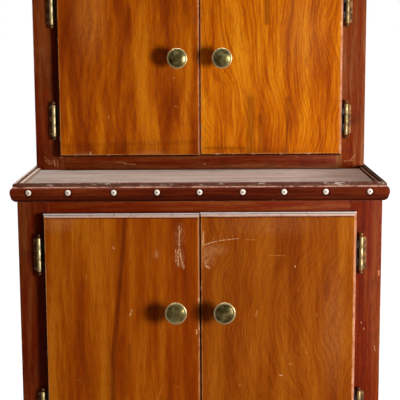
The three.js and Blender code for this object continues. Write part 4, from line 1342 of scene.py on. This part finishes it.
KEPT_FINISH = {
    "upper_cork_lining": CORK, "lower_cork_lining": CORK, "upper_zinc_liner": ZINC, "lower_zinc_liner": ZINC,
    "ledge_board": LEDGE_WOOD, "lower_floor_board": SHELF_PINE, "pan_shelf": SHELF_PINE,
}
for node, material in KEPT_FINISH.items():
    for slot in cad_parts[node].material_slots:
        slot.material = material


# ---------------------------------------------------------------- floor, light and camera

def pale_floor(t):
    """A pale floor, patchy by slow noise. It glows to the camera alone, to meet the white behind it."""
    spot = t.spot()
    shade = t.noise(spot, 3.0, detail=3)
    seen = t.node("LightPath").node.outputs["Is Camera Ray"]
    return {"Base Color": t.ramp(shade, [(0.3, (0.24, 0.19, 0.18, 1)), (0.7, (0.27, 0.22, 0.20, 1))]),
            "Emission Color": t.blend(seen, (0, 0, 0, 1), (0.96, 0.96, 0.96, 1))}


floor_mesh = bpy.data.meshes.new("floor")
floor_mesh.from_pydata([(-60, -60, 0), (60, -60, 0), (60, 200, 0), (-60, 200, 0)], [], [(0, 1, 2, 3)])
floor = bpy.data.objects.new("floor", floor_mesh)
floor_mesh.materials.append(finish("pale_floor", pale_floor, Roughness=0.9, Specular_IOR_Level=0.1,
                                   Emission_Strength=1.0))
bpy.context.scene.collection.objects.link(floor)


def soft_light(name, place, target, size, power):
    """A rectangular soft box that faces a point."""
    data = bpy.data.lights.new(name, "AREA")
    data.shape, data.size, data.size_y, data.energy = "RECTANGLE", *size, power
    lamp = bpy.data.objects.new(name, data)
    lamp.location = place
    lamp.rotation_euler = (Vector(target) - Vector(place)).to_track_quat("-Z", "Y").to_euler()
    bpy.context.scene.collection.objects.link(lamp)


soft_light("key", place=(1.75, -1.45, 0.60), target=(0.0, -0.1, 0.56), size=(0.50, 0.75), power=53)
soft_light("overhead", place=(0.0, -0.10, 3.2), target=(0.0, -0.10, 0.0), size=(3.0, 0.14), power=62)

# The world: a dark room in front and a pale wall behind, one dim grey in reflections, white to the camera.
DARK_ROOM, PALE_WALL = (0.040, 0.014, 0.010, 1), (0.58, 0.52, 0.48, 1)
MIRRORED_ROOM, WHITE = (0.14, 0.13, 0.12, 1), (1, 1, 1, 1)
world = bpy.data.worlds.new("studio")
bpy.context.scene.world = world
world.use_nodes = True
sky = Tree(world.node_tree)
background = world.node_tree.nodes["Background"]
path = sky.node("LightPath").node.outputs
seen_or_mirrored = sky.math("MAXIMUM", path["Is Camera Ray"], path["Is Glossy Ray"])
from_behind = sky.level(sky.split(sky.node("TexCoord", output="Generated"))[1], -0.1, 0.4)
scattered = sky.blend(from_behind, DARK_ROOM, PALE_WALL)
ambient = sky.blend(seen_or_mirrored, scattered, MIRRORED_ROOM)
sky.put(background.inputs["Color"], sky.blend(path["Is Camera Ray"], ambient, WHITE))

scene = bpy.context.scene
scene.view_settings.view_transform = "Standard"
scene.view_settings.look = "None"

CAMERA_PLACE = Vector((0.0109, -2.0400, 0.8247))
YAW, PITCH, ROLL = math.radians(-0.324), math.radians(8.75), math.radians(-0.329)
ahead = Vector((math.sin(YAW) * math.cos(PITCH), math.cos(YAW) * math.cos(PITCH), -math.sin(PITCH)))
level_right = Vector((math.cos(YAW), -math.sin(YAW), 0))
level_up = level_right.cross(ahead)
right = level_right * math.cos(ROLL) + level_up * math.sin(ROLL)
up = level_up * math.cos(ROLL) - level_right * math.sin(ROLL)
camera_data = bpy.data.cameras.new("camera")
camera_data.lens, camera_data.sensor_width = 98.82, 36.0
camera_data.clip_start, camera_data.clip_end = 0.05, 400
camera = bpy.data.objects.new("camera", camera_data)
camera.matrix_world = Matrix.Translation(CAMERA_PLACE) @ Matrix((right, up, -ahead)).transposed().to_4x4()
scene.collection.objects.link(camera)
scene.camera = camera
